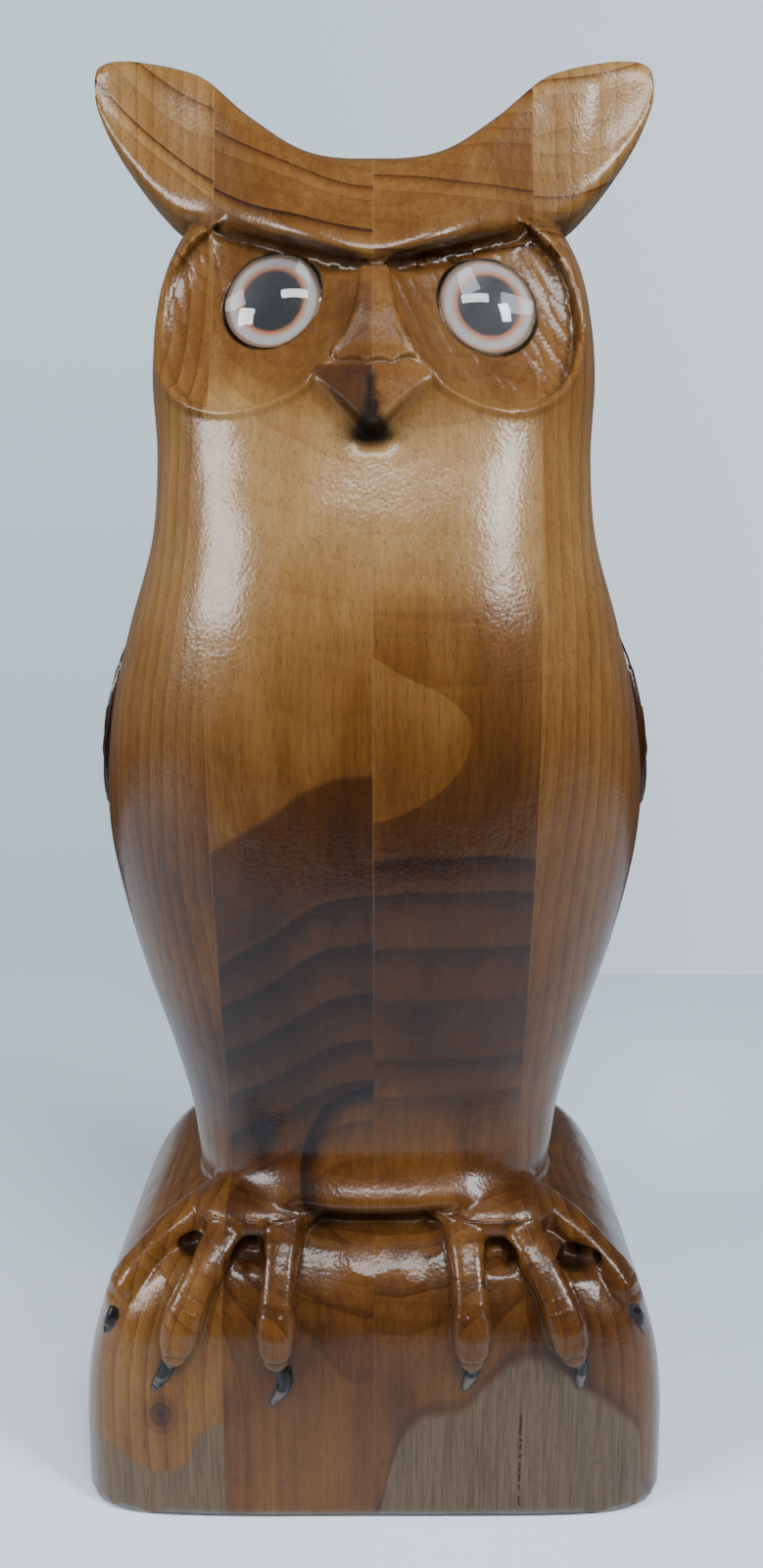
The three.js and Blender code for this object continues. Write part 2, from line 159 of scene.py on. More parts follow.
def grain_noise(points: Array, scale: float, seed: int) -> Array:
    """Smooth value noise between -1 and 1.

    Args:
        points: Points, one row each.
        scale: Size of one cell.
        seed: Chooses the pattern.

    Returns:
        One value for each point.
    """
    cell = points / scale
    base = np.floor(cell).astype(np.int64)
    part = cell - base
    part = part * part * (3.0 - 2.0 * part)
    total = np.zeros(len(points))
    for corner in range(8):
        offset = np.array([corner & 1, (corner >> 1) & 1, (corner >> 2) & 1])
        key = (base + offset) @ np.array([73856093, 19349663, 83492791]) + seed * 2654435761
        key = (key ^ (key >> 13)) * 1274126177 % 4294967296
        value = (key % 65536) / 32767.5 - 1.0
        weight = np.prod(np.where(offset == 1, part, 1.0 - part), axis=1)
        total += weight * value
    return total


def gouge_cuts(across: Array, along: Array, width: float, length: float, seed: int) -> Array:
    """Overlapping scoops of a shallow gouge: 1 in the middle of each cut, lowest on the ridges.

    Args:
        across: Distance across the cuts.
        along: Distance along the cuts.
        width: Width of one cut.
        length: Length of one cut.
        seed: Chooses how the cuts are jittered.

    Returns:
        One value for each point.
    """
    u = across / width
    v = along / length
    iu = np.floor(u).astype(np.int64)
    iv = np.floor(v).astype(np.int64)
    nearest = np.full(len(u), 9.0)
    for du in (-1, 0, 1):
        for dv in (-1, 0, 1):
            key = (iu + du) * 73856093 + (iv + dv) * 19349663 + seed * 83492791
            key = (key ^ (key >> 13)) * 1274126177 % 4294967296
            jitter_u = (key % 1024) / 1024.0
            jitter_v = (key // 1024 % 1024) / 1024.0
            gap = (u - iu - du - jitter_u) ** 2 + (v - iv - dv - jitter_v) ** 2
            nearest = np.minimum(nearest, gap)
    return 1.0 - np.clip(nearest, 0.0, 1.0)


def facing_out(sign: int, pitch: float, yaw: float, place: tuple[float, float, float]) -> Array:
    """The matrix that turns a shape made along Z to face forward, a little upward and outward."""
    turned = Matrix.Rotation(sign * math.radians(yaw), 4, "Z")
    tilted = Matrix.Rotation(math.radians(90.0 - pitch), 4, "X")
    return np.array(Matrix.Translation(Vector(place)) @ turned @ tilted)


def own_frame(matrix: Array, points: Array) -> Array:
    """Reads points in the frame that a matrix places."""
    back = np.linalg.inv(matrix)
    return points @ back[:3, :3].T + back[:3, 3]


def centripetal(path: Array, samples: int) -> Array:
    """Even points along a smooth curve through a few given ones.

    Args:
        path: The points that the curve passes.
        samples: How many points to return.

    Returns:
        Points spaced evenly by length, one row each.
    """
    first = 2.0 * path[0] - path[1]
    last = 2.0 * path[-1] - path[-2]
    knots = np.vstack([first, path, last])
    line = []
    for i in range(1, len(knots) - 2):
        p0, p1, p2, p3 = knots[i - 1 : i + 3]
        d0, d1, d2 = (np.linalg.norm(b - a) ** 0.5 for a, b in ((p0, p1), (p1, p2), (p2, p3)))
        start = ((p1 - p0) / d0 - (p2 - p0) / (d0 + d1) + (p2 - p1) / d1) * d1
        end = ((p2 - p1) / d1 - (p3 - p1) / (d1 + d2) + (p3 - p2) / d2) * d1
        for t in np.linspace(0.0, 1.0, 40, endpoint=False):
            bend = 3.0 * (p2 - p1) - 2.0 * start - end + t * (start + end - 2.0 * (p2 - p1))
            line.append(p1 + t * (start + t * bend))
    line.append(path[-1])
    dense = np.array(line)
    length = np.concatenate([[0.0], np.cumsum(np.linalg.norm(np.diff(dense, axis=0), axis=1))])
    even = np.linspace(0.0, length[-1], samples)
    return np.column_stack([np.interp(even, length, dense[:, axis]) for axis in range(3)])


def rope_distance(points: Array, line: Array, radii: Array, up: Array) -> tuple[Array, Array, Array]:
    """Distance from a tapering round bar that follows a line.

    Args:
        points: Points, one row each.
        line: The bar's middle, one row each.
        radii: The bar's radius at each of those.
        up: The direction away from what the bar lies on, at each of those.

    Returns:
        The distance, how far along the bar the nearest place is, from 0 to 1, and the height over it.
    """
    best = np.full(len(points), 1e3)
    share = np.zeros(len(points))
    height = np.zeros(len(points))
    steps = len(line) - 1
    for i in range(steps):
        edge = line[i + 1] - line[i]
        t = np.clip((points - line[i]) @ edge / (edge @ edge), 0.0, 1.0)
        away = points - line[i] - t[:, None] * edge
        gap = np.linalg.norm(away, axis=1) - radii[i] - t * (radii[i + 1] - radii[i])
        closer = gap < best
        best = np.where(closer, gap, best)
        share = np.where(closer, (i + t) / steps, share)
        rise = (away * (up[i] + t[:, None] * (up[i + 1] - up[i]))).sum(axis=1)
        height = np.where(closer, rise, height)
    return best, share, height


# The carving's form, by the same sizes as its solid


@dataclass(frozen=True)
class Trunk:
    """Body and head in one, by height: half width, front, widest plane, back and squareness."""

    rows: Rows = (
        (88, 63, -47, -4, 50, 2.2),
        (106, 64.5, -53, -5, 49, 2.2),
        (122, 66.5, -51, -6, 47, 2.2),
        (150, 73, -57, -8, 47, 2.2),
        (185, 82.5, -65, -10, 50, 2.2),
        (225, 89.6, -73.5, -10, 54, 2.2),
        (260, 87.3, -78.5, -10, 55, 2.2),
        (290, 80, -77.5, -10, 52, 2.2),
        (318, 71.5, -71.5, -10, 47, 2.3),
        (342, 69, -63.5, -9, 46, 2.5),
        (368, 69.5, -57.5, -8, 48, 2.7),
        (390, 67.5, -49, -5, 48, 2.7),
        (404, 64.5, -39, -1, 46, 2.6),
        (418, 59, -25, 3, 41, 2.4),
        (425, 49, -16, 6, 35, 2.3),
    )
    crown_start: float = 400.0
    crown_fall: float = 0.2
    top_rounding: float = 5.0

    def section(self, points: Array) -> tuple[Array, Array, Array, Array]:
        """Reads the rings of the trunk at each point.

        Args:
            points: Points, one row each.

        Returns:
            The share of the full ring, its slope, the angle in degrees from the breast, and the
            height at which the rings were read.
        """
        half, front, mid, back, power = profiles(self.rows)
        x, y, z = points.T
        level = z.copy()
        top = self.rows[-1][0]
        high = z > self.crown_start - 25.0
        for _ in range(8):
            crown = smooth_step(level[high], self.crown_start, top)
            fall = self.crown_fall * np.maximum(0.0, y[high] - front(level[high]))
            level[high] = z[high] + crown * fall
        ahead = y < mid(level)
        depth = np.where(ahead, mid(level) - front(level), back(level) - mid(level))
        p = power(level)
        across = np.abs(x) / half(level)
        along = np.abs(y - mid(level)) / depth
        ring = np.maximum((across**p + along**p) ** (1.0 / p), 1e-4)
        slope = np.hypot(
            (across / ring) ** (p - 1.0) / half(level), (along / ring) ** (p - 1.0) / depth
        )
        turn = np.degrees(
            np.arctan2((across / ring) ** (p / 2.0), (along / ring) ** (p / 2.0) * np.where(ahead, 1, -1))
        )
        return ring, slope, turn, level

    def distance(self, points: Array) -> tuple[Array, Array]:
        """Distance from the trunk, and the angle round it in degrees from the breast."""
        ring, slope, turn, level = self.section(points)
        side = (ring - 1.0) / slope
        top = level - self.rows[-1][0]
        return cut(side, -top, self.top_rounding), turn


@dataclass(frozen=True)
class Crown:
    """Forehead and ears, by distance from the middle.

    Each row holds the top, the lower edge, its front, the lean, the thickness and the squareness.
    """

    rows: Rows = (
        (0, 432, 396.5, -47, 0.72, 56, 7),
        (20, 433.6, 402, -42.5, 0.66, 46, 6.5),
        (38, 445.2, 408.5, -30, 0.4, 34, 6),
        (52, 458, 414, -18, 0.24, 28, 5.6),
        (62, 463.3, 418, -11.5, 0.22, 25, 5.4),
        (70, 465.8, 425, -6.5, 0.22, 21, 5),
        (78, 467, 434.5, -2.5, 0.2, 17, 4.2),
        (84.4, 466.5, 444, 0, 0.2, 12.5, 3.4),
        (87.9, 464, 452, 1.5, 0.2, 8, 2.6),
        (88.9, 461, 456.5, 2.5, 0.2, 3.5, 2.2),
    )
    ear: tuple[float, float] = (30.0, 50.0)
    dish: float = 2.4
    dish_thick: float = 24.0
    shear: float = 0.22
    tip_rounding: float = 1.2

    def leaf(self, points: Array) -> Array:
        """The crown's field before it is turned into a distance."""
        mirrored = (-self.rows[1][0], *self.rows[1][1:])
        top, bottom, brow, lean, thick, power = profiles([mirrored, *self.rows])
        x, y, z = points.T
        away = np.abs(x)
        tall = top(away) - bottom(away)
        on_ear = smooth_step(away, *self.ear)
        middle = (top(away) + bottom(away)) / 2.0
        level = z
        for _ in range(3):
            up = (level - middle) * 2.0 / tall
            front = brow(away) + lean(away) * (level - bottom(away))
            depth = y - front
            shear = np.where(up < 0.0, self.shear * on_ear * up * np.clip(depth, 0.0, thick(away)), 0.0)
            level = z - np.clip(shear, -6.0, 0.0)
        dish = self.dish * on_ear * np.minimum(1.0, thick(away) / self.dish_thick)
        back = 2.0 * depth / thick(away) - 1.0
        hollow = dish * np.maximum(0.0, 1.0 - up * up) * np.clip(-2.0 * back, 0.0, 1.0)
        back = 2.0 * (depth - hollow) / thick(away) - 1.0
        p = power(away)
        ring = (np.abs(up) ** p + np.abs(back) ** p) ** (1.0 / p)
        return (ring - 1.0) * thick(away) / 2.0

    def distance(self, points: Array) -> Array:
        """Distance from the crown."""
        leaf = metric(self.leaf, points)
        reach = self.rows[-1][0]
        return cut(leaf, reach - np.abs(points[:, 0]), self.tip_rounding)


@dataclass(frozen=True)
class Mound:
    """The loaf under the feet, with nearly upright walls and a rounded top."""

    half_width: float = 99.3
    half_depth: float = 75.0
    height: float = 100.0
    cap: float = 97.8
    plan_power: float = 8.0
    side: tuple[float, float] = (8.0, 3.2)
    front: tuple[float, float] = (30.0, 3.6)
    foot_rise: float = 2.5
    foot_inset: float = 1.5
    outward_step: float = 0.1

    def share(self, z: Array, start: float, power: float) -> Array:
        """The share of its full size that the mound keeps at a height."""
        rise = np.clip((z - start) / (self.height - start), 0.0, 0.999)
        return (1.0 - rise**power) ** (1.0 / power)

    def loaf(self, points: Array) -> Array:
        """The loaf's field before it is turned into a distance."""
        x, y, z = points.T
        inset = self.foot_inset * np.clip(1.0 - z / self.foot_rise, 0.0, 1.0)
        half = self.half_width * self.share(z, *self.side) - inset
        depth = self.half_depth * self.share(z, *self.front) - inset
        p = self.plan_power
        ring = ((np.abs(x) / half) ** p + (np.abs(y) / depth) ** p) ** (1.0 / p)
        return (ring - 1.0) * depth

    def distance(self, points: Array) -> Array:
        """Distance from the mound."""
        z = points[:, 2]
        return np.maximum(np.maximum(metric(self.loaf, points), z - self.cap), -z)

    def front_at(self, x: float, z: float) -> Array:
        """The point of the mound's front at a place across and a height."""
        level = np.array([z], float)
        half = self.half_width * self.share(level, *self.side)[0]
        depth = self.half_depth * self.share(level, *self.front)[0]
        power = self.plan_power
        forward = depth * (1.0 - (abs(x) / half) ** power) ** (1.0 / power)
        return np.array([x, -forward, z])

    def outward(self, points: Array) -> Array:
        """The direction straight out of the mound at each point."""
        _, slope = slope_of(self.distance, points, self.outward_step)
        return slope / np.linalg.norm(slope, axis=1, keepdims=True)


@dataclass(frozen=True)
class Panel:
    """A raised wing or tail. Each row holds a height, the edges in degrees and how far it stands."""

    rows: Rows
    thinning: float = 0.35
    rounding: float = 1.6

    def distance(self, trunk: Array, turn: Array, z: Array, work: "ToolWork", feathers: int) -> Array:
        """Distance from the panel.

        Args:
            trunk: Distance from the trunk.
            turn: Angle round the trunk.
            z: Height.
            work: The tool work, for the lines between the feathers.
            feathers: How many feathers lie side by side.

        Returns:
            The distance, roughly in millimetres.
        """
        start, end, proud = profiles(self.rows)
        low, high = self.rows[0][0], self.rows[-1][0]
        degree = 1.3
        share = np.clip((turn - start(z)) / (end(z) - start(z)), 0.0, 1.0)
        outer = trunk - proud(z) * (1.0 - self.thinning * share)
        outer = outer + work.quills(share, (z - low) / (high - low), feathers)
        edge = np.maximum(start(z) - turn, turn - end(z)) * degree
        ends = np.maximum(low - z, z - high)
        return cut(cut(outer, -edge, self.rounding), -ends, self.rounding)


WING = Panel(
    rows=(
        (127, 147, 153, 3.5),
        (150, 131, 161, 5.5),
        (175, 117, 165, 6.5),
        (205, 105, 167, 7.2),
        (235, 98, 167, 7.6),
        (262, 97, 165, 7.2),
        (290, 104, 157, 6),
        (304, 114, 147, 4.5),
        (312, 124, 134, 3.5),
    )
)
TAIL = Panel(
    rows=(
        (84, 157, 203, 9),
        (115, 158, 202, 8),
        (145, 162, 198, 6.5),
        (166, 169, 191, 4.5),
        (174, 175, 185, 3.5),
    )
)


@dataclass(frozen=True)
class FaceSide:
    """One side of the face: its disc and its eye."""

    name: str
    sign: int
    disc_x: float
    disc_half: float
    eye_x: float
    eye_z: float


LEFT = FaceSide("left", -1, 34.8, 32.5, 29.8, 387.2)
RIGHT = FaceSide("right", 1, 33.0, 29.5, 34.0, 385.8)


@dataclass(frozen=True)
class Face:
    """The sunk facial discs, the beak and the drilled sockets."""

    disc_y: float = -38.5
    disc_z: float = 385.0
    disc_half_depth: float = 5.5
    disc_half_height: float = 34.5
    disc_yaw: float = 20.0
    disc_pitch: float = 24.0
    disc_stretch: float = 5.0
    socket_radius: float = 15.9
    socket_floor: float = -0.3
    eye_y: float = -30.5
    eye_pitch: float = 20.0
    eye_yaw: float = 14.0
    beak_points: tuple[tuple[float, float, float], ...] = (
        (-17, -59.5, 364),
        (17, -59.5, 364),
        (0, -61.5, 367),
        (0, -71, 348),
        (0, -50, 372),
        (0, -50, 342),
    )
    beak_rounding: float = 2.6

    def disc_frame(self, side: FaceSide) -> Array:
        """The frame of one facial disc, its Z pointing out of the hollow."""
        place = (side.sign * side.disc_x, self.disc_y, self.disc_z)
        return facing_out(side.sign, self.disc_pitch, self.disc_yaw, place)

    def eye_frame(self, side: FaceSide) -> Array:
        """The frame of one eye, at the middle of its flat back, its Z pointing out."""
        place = (side.sign * side.eye_x, self.eye_y, side.eye_z)
        return facing_out(side.sign, self.eye_pitch, self.eye_yaw, place)

    def disc(self, points: Array, side: FaceSide) -> Array:
        """The field of one disc's cutter."""
        half = np.array([side.disc_half, self.disc_half_height, self.disc_half_depth])

        def bowl(place: Array) -> Array:
            """Half an ellipsoid behind, stretched far out in front."""
            own = own_frame(self.disc_frame(side), place)
            own[:, 2] = np.where(own[:, 2] > 0.0, own[:, 2] / self.disc_stretch, own[:, 2])
            return (np.linalg.norm(own / half, axis=1) - 1.0) * self.disc_half_depth

        return metric(bowl, points)

    def socket(self, points: Array, side: FaceSide) -> Array:
        """The field of one drilled socket, open to the front."""
        own = own_frame(self.eye_frame(side), points)
        wall = np.hypot(own[:, 0], own[:, 1]) - self.socket_radius
        return np.maximum(wall, self.socket_floor - own[:, 2])

    def beak(self, points: Array) -> Array:
        """The beak's field: the planes through its corners."""
        corners = np.array(self.beak_points, float)
        left, right, top, tip, high, low = corners
        middle = corners.mean(axis=0)
        distance = np.full(len(points), -1e3)
        for a, b, c in (
            (top, left, tip),
            (top, tip, right),
            (top, high, left),
            (top, right, high),
            (left, low, tip),
            (right, tip, low),
            (left, high, low),
            (right, low, high),
        ):
            normal = np.cross(b - a, c - a)
            normal /= np.linalg.norm(normal)
            if (middle - a) @ normal > 0.0:
                normal = -normal
            distance = cut(distance, -((points - a) @ normal), self.beak_rounding)
        return distance


@dataclass(frozen=True)
class Feet:
    """Toes, claws, insteps, the arches under the webs and the slot between the feet.

    A toe is its path from root to tip on the right side. A claw is three places on the front of
    the mound, across and up. Arches, the slot and the swellings of the mound below two of the
    arches are eggs: their middle and half sizes.
    """

    mound: Mound
    toes: tuple[tuple[tuple[float, float, float], ...], ...] = (
        ((29, -38, 96), (30, -60, 92.5), (31, -73, 78.5), (31.2, -77.0, 59)),
        ((41, -38, 96), (50, -58, 92), (59, -71, 78.5), (64.8, -76.2, 60)),
        ((47, -33, 96), (66, -48, 91.5), (79, -56, 80.5), (86.4, -60.5, 66)),
    )
    toe_stations: tuple[tuple[float, float], ...] = (
        (0, 8.6),
        (0.35, 6.6),
        (0.62, 5.7),
        (0.82, 6.7),
        (0.92, 5.0),
        (1, 1.6),
    )
    toe_steps: int = 16
    flat_top: float = 0.86
    claws: tuple[tuple[tuple[float, float], ...], ...] = (
        ((-31.4, 60.5), (-28.6, 53.0), (-32.6, 44.7)),
        ((-64.4, 64.0), (-67.2, 56.0), (-71.2, 49.6)),
        ((-84.0, 72.0), (-86.2, 67.0), (-89.0, 63)),
        ((29.4, 64.5), (31.8, 57.5), (29.4, 50.4)),
        ((62.4, 65.5), (66.4, 58.5), (66.6, 50.2)),
        ((83.2, 73.0), (86.4, 68.0), (89.3, 62.3)),
    )
    claw_stations: tuple[tuple[float, float], ...] = ((0, 2.0), (0.4, 2.3), (0.8, 1.5), (1, 0.8))
    claw_lift: float = 0.5
    instep: tuple[float, ...] = (39, -44, 97, 22, 16, 9)
    undercut: tuple[float, ...] = (2, -52, 95.5, 22, 11, 2.2)
    arches: Rows = (
        (-40.2, -60, 89.8, 6.4, 13, 4.4),
        (-60.2, -56.5, 89.4, 5.0, 10, 2.6),
        (40.6, -59, 89.6, 6.6, 13, 4.2),
        (67.4, -57, 86.2, 7.6, 10, 3.2),
    )
    pads: Rows = (
        (-40.2, -58.5, 82.6, 5.0, 6.6, 3.6),
        (40.6, -57.5, 82.6, 5.2, 6.6, 3.6),
    )
    fillet: float = 1.8

    def egg(self, points: Array, sizes: tuple[float, ...]) -> Array:
        """Distance from an ellipsoid given by its middle and half sizes."""
        middle = np.array(sizes[:3])
        half = np.array(sizes[3:])

        def shell(place: Array) -> Array:
            """Zero on the ellipsoid."""
            return (np.linalg.norm((place - middle) / half, axis=1) - 1.0) * half.min()

        return metric(shell, points)

    def toe(self, points: Array, path: tuple[tuple[float, float, float], ...]) -> Array:
        """Distance from one toe with its slightly flat top, for points on the right side."""
        line = centripetal(np.array(path, float), self.toe_steps)
        (radius,) = profiles(self.toe_stations)
        radii = radius(np.linspace(0.0, 1.0, self.toe_steps))
        distance, share, height = rope_distance(points, line, radii, self.mound.outward(line))
        top = self.flat_top * radius(share) - height
        return cut(distance, top, 2.0)

    def claw(self, points: Array, path: tuple[tuple[float, float], ...]) -> Array:
        """Distance from one hooked claw that lies on the mound."""
        line = centripetal(np.array([self.mound.front_at(x, z) for x, z in path]), 9)
        line = line + self.claw_lift * self.mound.outward(line)
        (radius,) = profiles(self.claw_stations)
        distance, _, _ = rope_distance(points, line, radius(np.linspace(0.0, 1.0, 9)), line * 0.0)
        return distance

    def horn(self, points: Array) -> Array:
        """How much of each point is claw: 1 at the root, 2 on the tip that carries a painted highlight, and
        0 elsewhere.
        """
        shown = np.zeros(len(points))
        for path in self.claws:
            line = np.array([self.mound.front_at(x, z) for x, z in path])
            on_claw = 1.0 - smooth_step(self.claw(points, path), 0.05, 0.6)
            reach = line[0, 2] - line[-1, 2]
            tip = smooth_step((line[0, 2] - points[:, 2]) / reach, 0.5, 0.75)
            shown = np.maximum(shown, on_claw * (1.0 + tip))
        return shown

    def shade(self, points: Array) -> Array:
        """Painted shade: 1 inside the arches under the webs, above the swellings."""
        shown = np.zeros(len(points))
        for arch in self.arches:
            shown = np.maximum(shown, 1.0 - smooth_step(self.egg(points, arch), -0.1, 1.1))
        for pad in self.pads:
            shown = shown * smooth_step(self.egg(points, pad), 0.1, 0.8)
        return shown

    def distance(self, points: Array, body: Array) -> Array:
        """Joins the feet to the body's field."""
        near = (points[:, 2] < 125.0) & (points[:, 1] < 0.0)
        place = points[near]
        right = place.copy()
        right[:, 0] = np.abs(right[:, 0])
        joined = melt(body[near], self.egg(right, self.instep), 4.0)
        for path in self.toes:
            joined = melt(joined, self.toe(right, path), self.fillet)
        for claw in self.claws:
            joined = melt(joined, self.claw(place, claw), 0.7)
        for hollow in (self.undercut, *self.arches):
            softness = 0.9 + 2.6 * smooth_step(hollow[2] - place[:, 2], 0.0, hollow[5])
            joined = cut(joined, self.egg(place, hollow), softness)
        for pad in self.pads:
            joined = melt(joined, self.egg(place, pad), 0.8)
        result = body.copy()
        result[near] = joined
        return result


@dataclass(frozen=True)
class ToolWork:
    """What the knife and the gouge left on the form, as depths cut away in millimetres."""

    brow_groove: float = 1.9
    rim_line: float = 0.7
    rim_bead: float = 0.5
    second_line: float = 0.9
    floor_cuts: float = 0.55
    mound_cuts: float = 0.5
    hand: float = 0.2
    lip_height: float = 104.0
    lip_width: float = 5.6
    lip_proud: float = 5.2
    brow_edge: Rows = ((0, 396.5), (20, 401.5), (31.6, 404.8), (42, 408.5), (52, 411.5), (58, 414.5))

    def hand_wander(self, points: Array) -> Array:
        """The slow unevenness of a surface sanded by hand."""
        return self.hand * (grain_noise(points, 34.0, 3) + 0.45 * grain_noise(points, 13.0, 4))

    def rim(self, plain: Array, disc: Array) -> Array:
        """The cut line round a facial disc, with a raised bead inside it."""
        edge = np.hypot(plain, disc)
        return self.rim_line * dip(edge, 0.7) - self.rim_bead * dip(edge - 2.0, 0.9)

    def double_rim(self, plain: Array, disc: Array, own: Array, side: FaceSide) -> Array:
        """The second line inside the outer edge of the right disc."""
        edge = np.hypot(plain, disc)
        outer = smooth_step(own[:, 0] * side.sign, 0.25 * side.disc_half, 0.6 * side.disc_half)
        inside = smooth_step(-plain, 0.2, 1.0)
        return self.second_line * dip(edge - 4.6, 1.0) * outer * inside

    def floor(self, plain: Array, disc: Array, own: Array, seed: int) -> Array:
        """Gouge marks on the floor of a disc, running down and outward."""
        inside = smooth_step(-plain, 0.8, 2.2) * dip(disc, 2.5)
        lean = 0.35
        across = own[:, 0] + lean * own[:, 1]
        along = own[:, 1] - lean * own[:, 0]
        return self.floor_cuts * inside * gouge_cuts(across, along, 3.6, 20.0, seed)

    def brow(self, points: Array, crown: Array) -> Array:
        """The groove that undercuts the brow."""
        front = smooth_step(-points[:, 1], 6.0, 20.0)
        front *= 1.0 - smooth_step(np.abs(points[:, 0]), 54.0, 64.0)
        return self.brow_groove * dip(crown - 1.8, 1.9) * front

    def bridge(self, points: Array) -> Array:
        """The scalloped lower end of the nose bridge, proud of the beak."""
        x, y, z = points.T
        edge = 366.6 + 1.3 * np.abs(np.sin((x + 1.8) * math.pi / 7.2)) + 0.012 * x * x
        over = smooth_step(z - edge, -1.1, 1.1) * np.exp(-np.maximum(z - edge, 0.0) / 6.0)
        ridge = dip(x + 0.5, 6.5) * smooth_step(z, 366.0, 369.0) * (1.0 - smooth_step(z, 380.0, 396.0))
        over = 1.7 * over * (1.0 - smooth_step(np.abs(x), 9.0, 15.0)) + 1.1 * ridge
        return -over * smooth_step(-y, 43.0, 50.0)

    def beak(self, points: Array) -> Array:
        """The slit down the beak and the hollow under its tip."""
        x, y, z = points.T
        slit = dip(x, 1.7) * smooth_step(z, 348.0, 352.0) * (1.0 - smooth_step(z, 362.5, 367.0))
        under = dip(x, 5.0) * dip(z - 345.5, 2.6)
        return (0.5 * slit + 1.8 * under) * smooth_step(-y, 52.0, 58.0)

    def beak_face(self, points: Array) -> Array:
        """1 on the beak's two bare facets below the nose, and a part of that on the nose."""
        x, y, z = points.T
        width = 2.5 + 14.0 * np.clip((z - 347.0) / 17.0, 0.0, 1.0)
        shown = 1.0 - smooth_step(np.abs(x) - width, -1.5, 1.5)
        shown *= smooth_step(z, 344.0, 347.0) * (1.0 - smooth_step(z, 365.5, 367.2))
        nose = 0.85 * (1.0 - smooth_step(np.abs(x), 8.0, 13.0)) * smooth_step(z, 366.0, 368.0)
        nose *= 1.0 - smooth_step(z, 384.0, 394.0)
        return np.maximum(shown * smooth_step(-y, 50.0, 55.0), nose * smooth_step(-y, 40.0, 46.0))

    def soot_and_shade(self, points: Array) -> Array:
        """The dark stain down the beak's slit, and painted shade under the beak's tip, in the slot between
        the feet and under the brow.
        """
        x, y, z = points.T
        front = smooth_step(-y, 42.0, 50.0)
        # The dark stripe down the beak is stain, widening into painted shade near the tip.
        width = 1.2 + 3.0 * (1.0 - smooth_step(z, 347.0, 358.0))
        stripe = dip(x + 0.6, width) * smooth_step(z, 344.0, 349.0) * (1.0 - smooth_step(z, 362.0, 366.0))
        # Painted shade under the beak's tip.
        under = dip(x + 0.4, 6.6) * dip(z - 347.4, 3.6)
        # Painted shade in the slot between the feet.
        slot = (1.0 - smooth_step(np.abs(x), 18.0, 25.0)) * dip(z - 95.0, 2.6)
        # Painted shade along the groove under the brow.
        (edge,) = profiles(self.brow_edge)
        line = dip(z - edge(np.abs(x)), 1.7) * (1.0 - smooth_step(np.abs(x), 46.0, 58.0))
        brow = line * (0.3 + 0.5 * dip(x + 4.0, 14.0)) * smooth_step(-y, 8.0, 16.0)
        return np.clip(front * (stripe + 1.1 * under + slot) + brow, 0.0, 1.0)

    def mound(self, points: Array) -> Array:
        """Gouge marks on the top of the mound's front, between the feet and the toes."""
        x, y, z = points.T
        zone = smooth_step(z, 68.0, 78.0) * smooth_step(-y, 40.0, 50.0)
        zone *= 1.0 - smooth_step(z, 96.0, 99.0)
        return self.mound_cuts * zone * gouge_cuts(x, y * 0.6 + z * 0.8, 7.5, 9.0, 11)

    def lip(self, points: Array) -> Array:
        """The roll along the bottom of the breast."""
        x, y, z = points.T
        across = 1.0 - smooth_step(np.abs(x), 30.0, 54.0)
        roll = self.lip_proud * dip(z - self.lip_height, self.lip_width)
        return -roll * across * smooth_step(-y, 36.0, 44.0)

    def quills(self, share: Array, length: Array, count: int) -> Array:
        """Long cut lines between the feathers of a wing or tail.

        Args:
            share: Place across the panel, from 0 to 1.
            length: Place along it, from 0 at the tips to 1 at the shoulder.
            count: How many feathers lie side by side.

        Returns:
            The depth cut away at each point.
        """
        phase = share * count + 0.5 * (1.0 - length)
        off = np.abs(phase - np.round(phase)) / count
        inner = smooth_step(share, 0.2, 0.3) * (1.0 - smooth_step(share, 0.84, 0.94))
        return 0.8 * dip(off, 0.018) * inner * (1.0 - smooth_step(length, 0.5, 0.75))


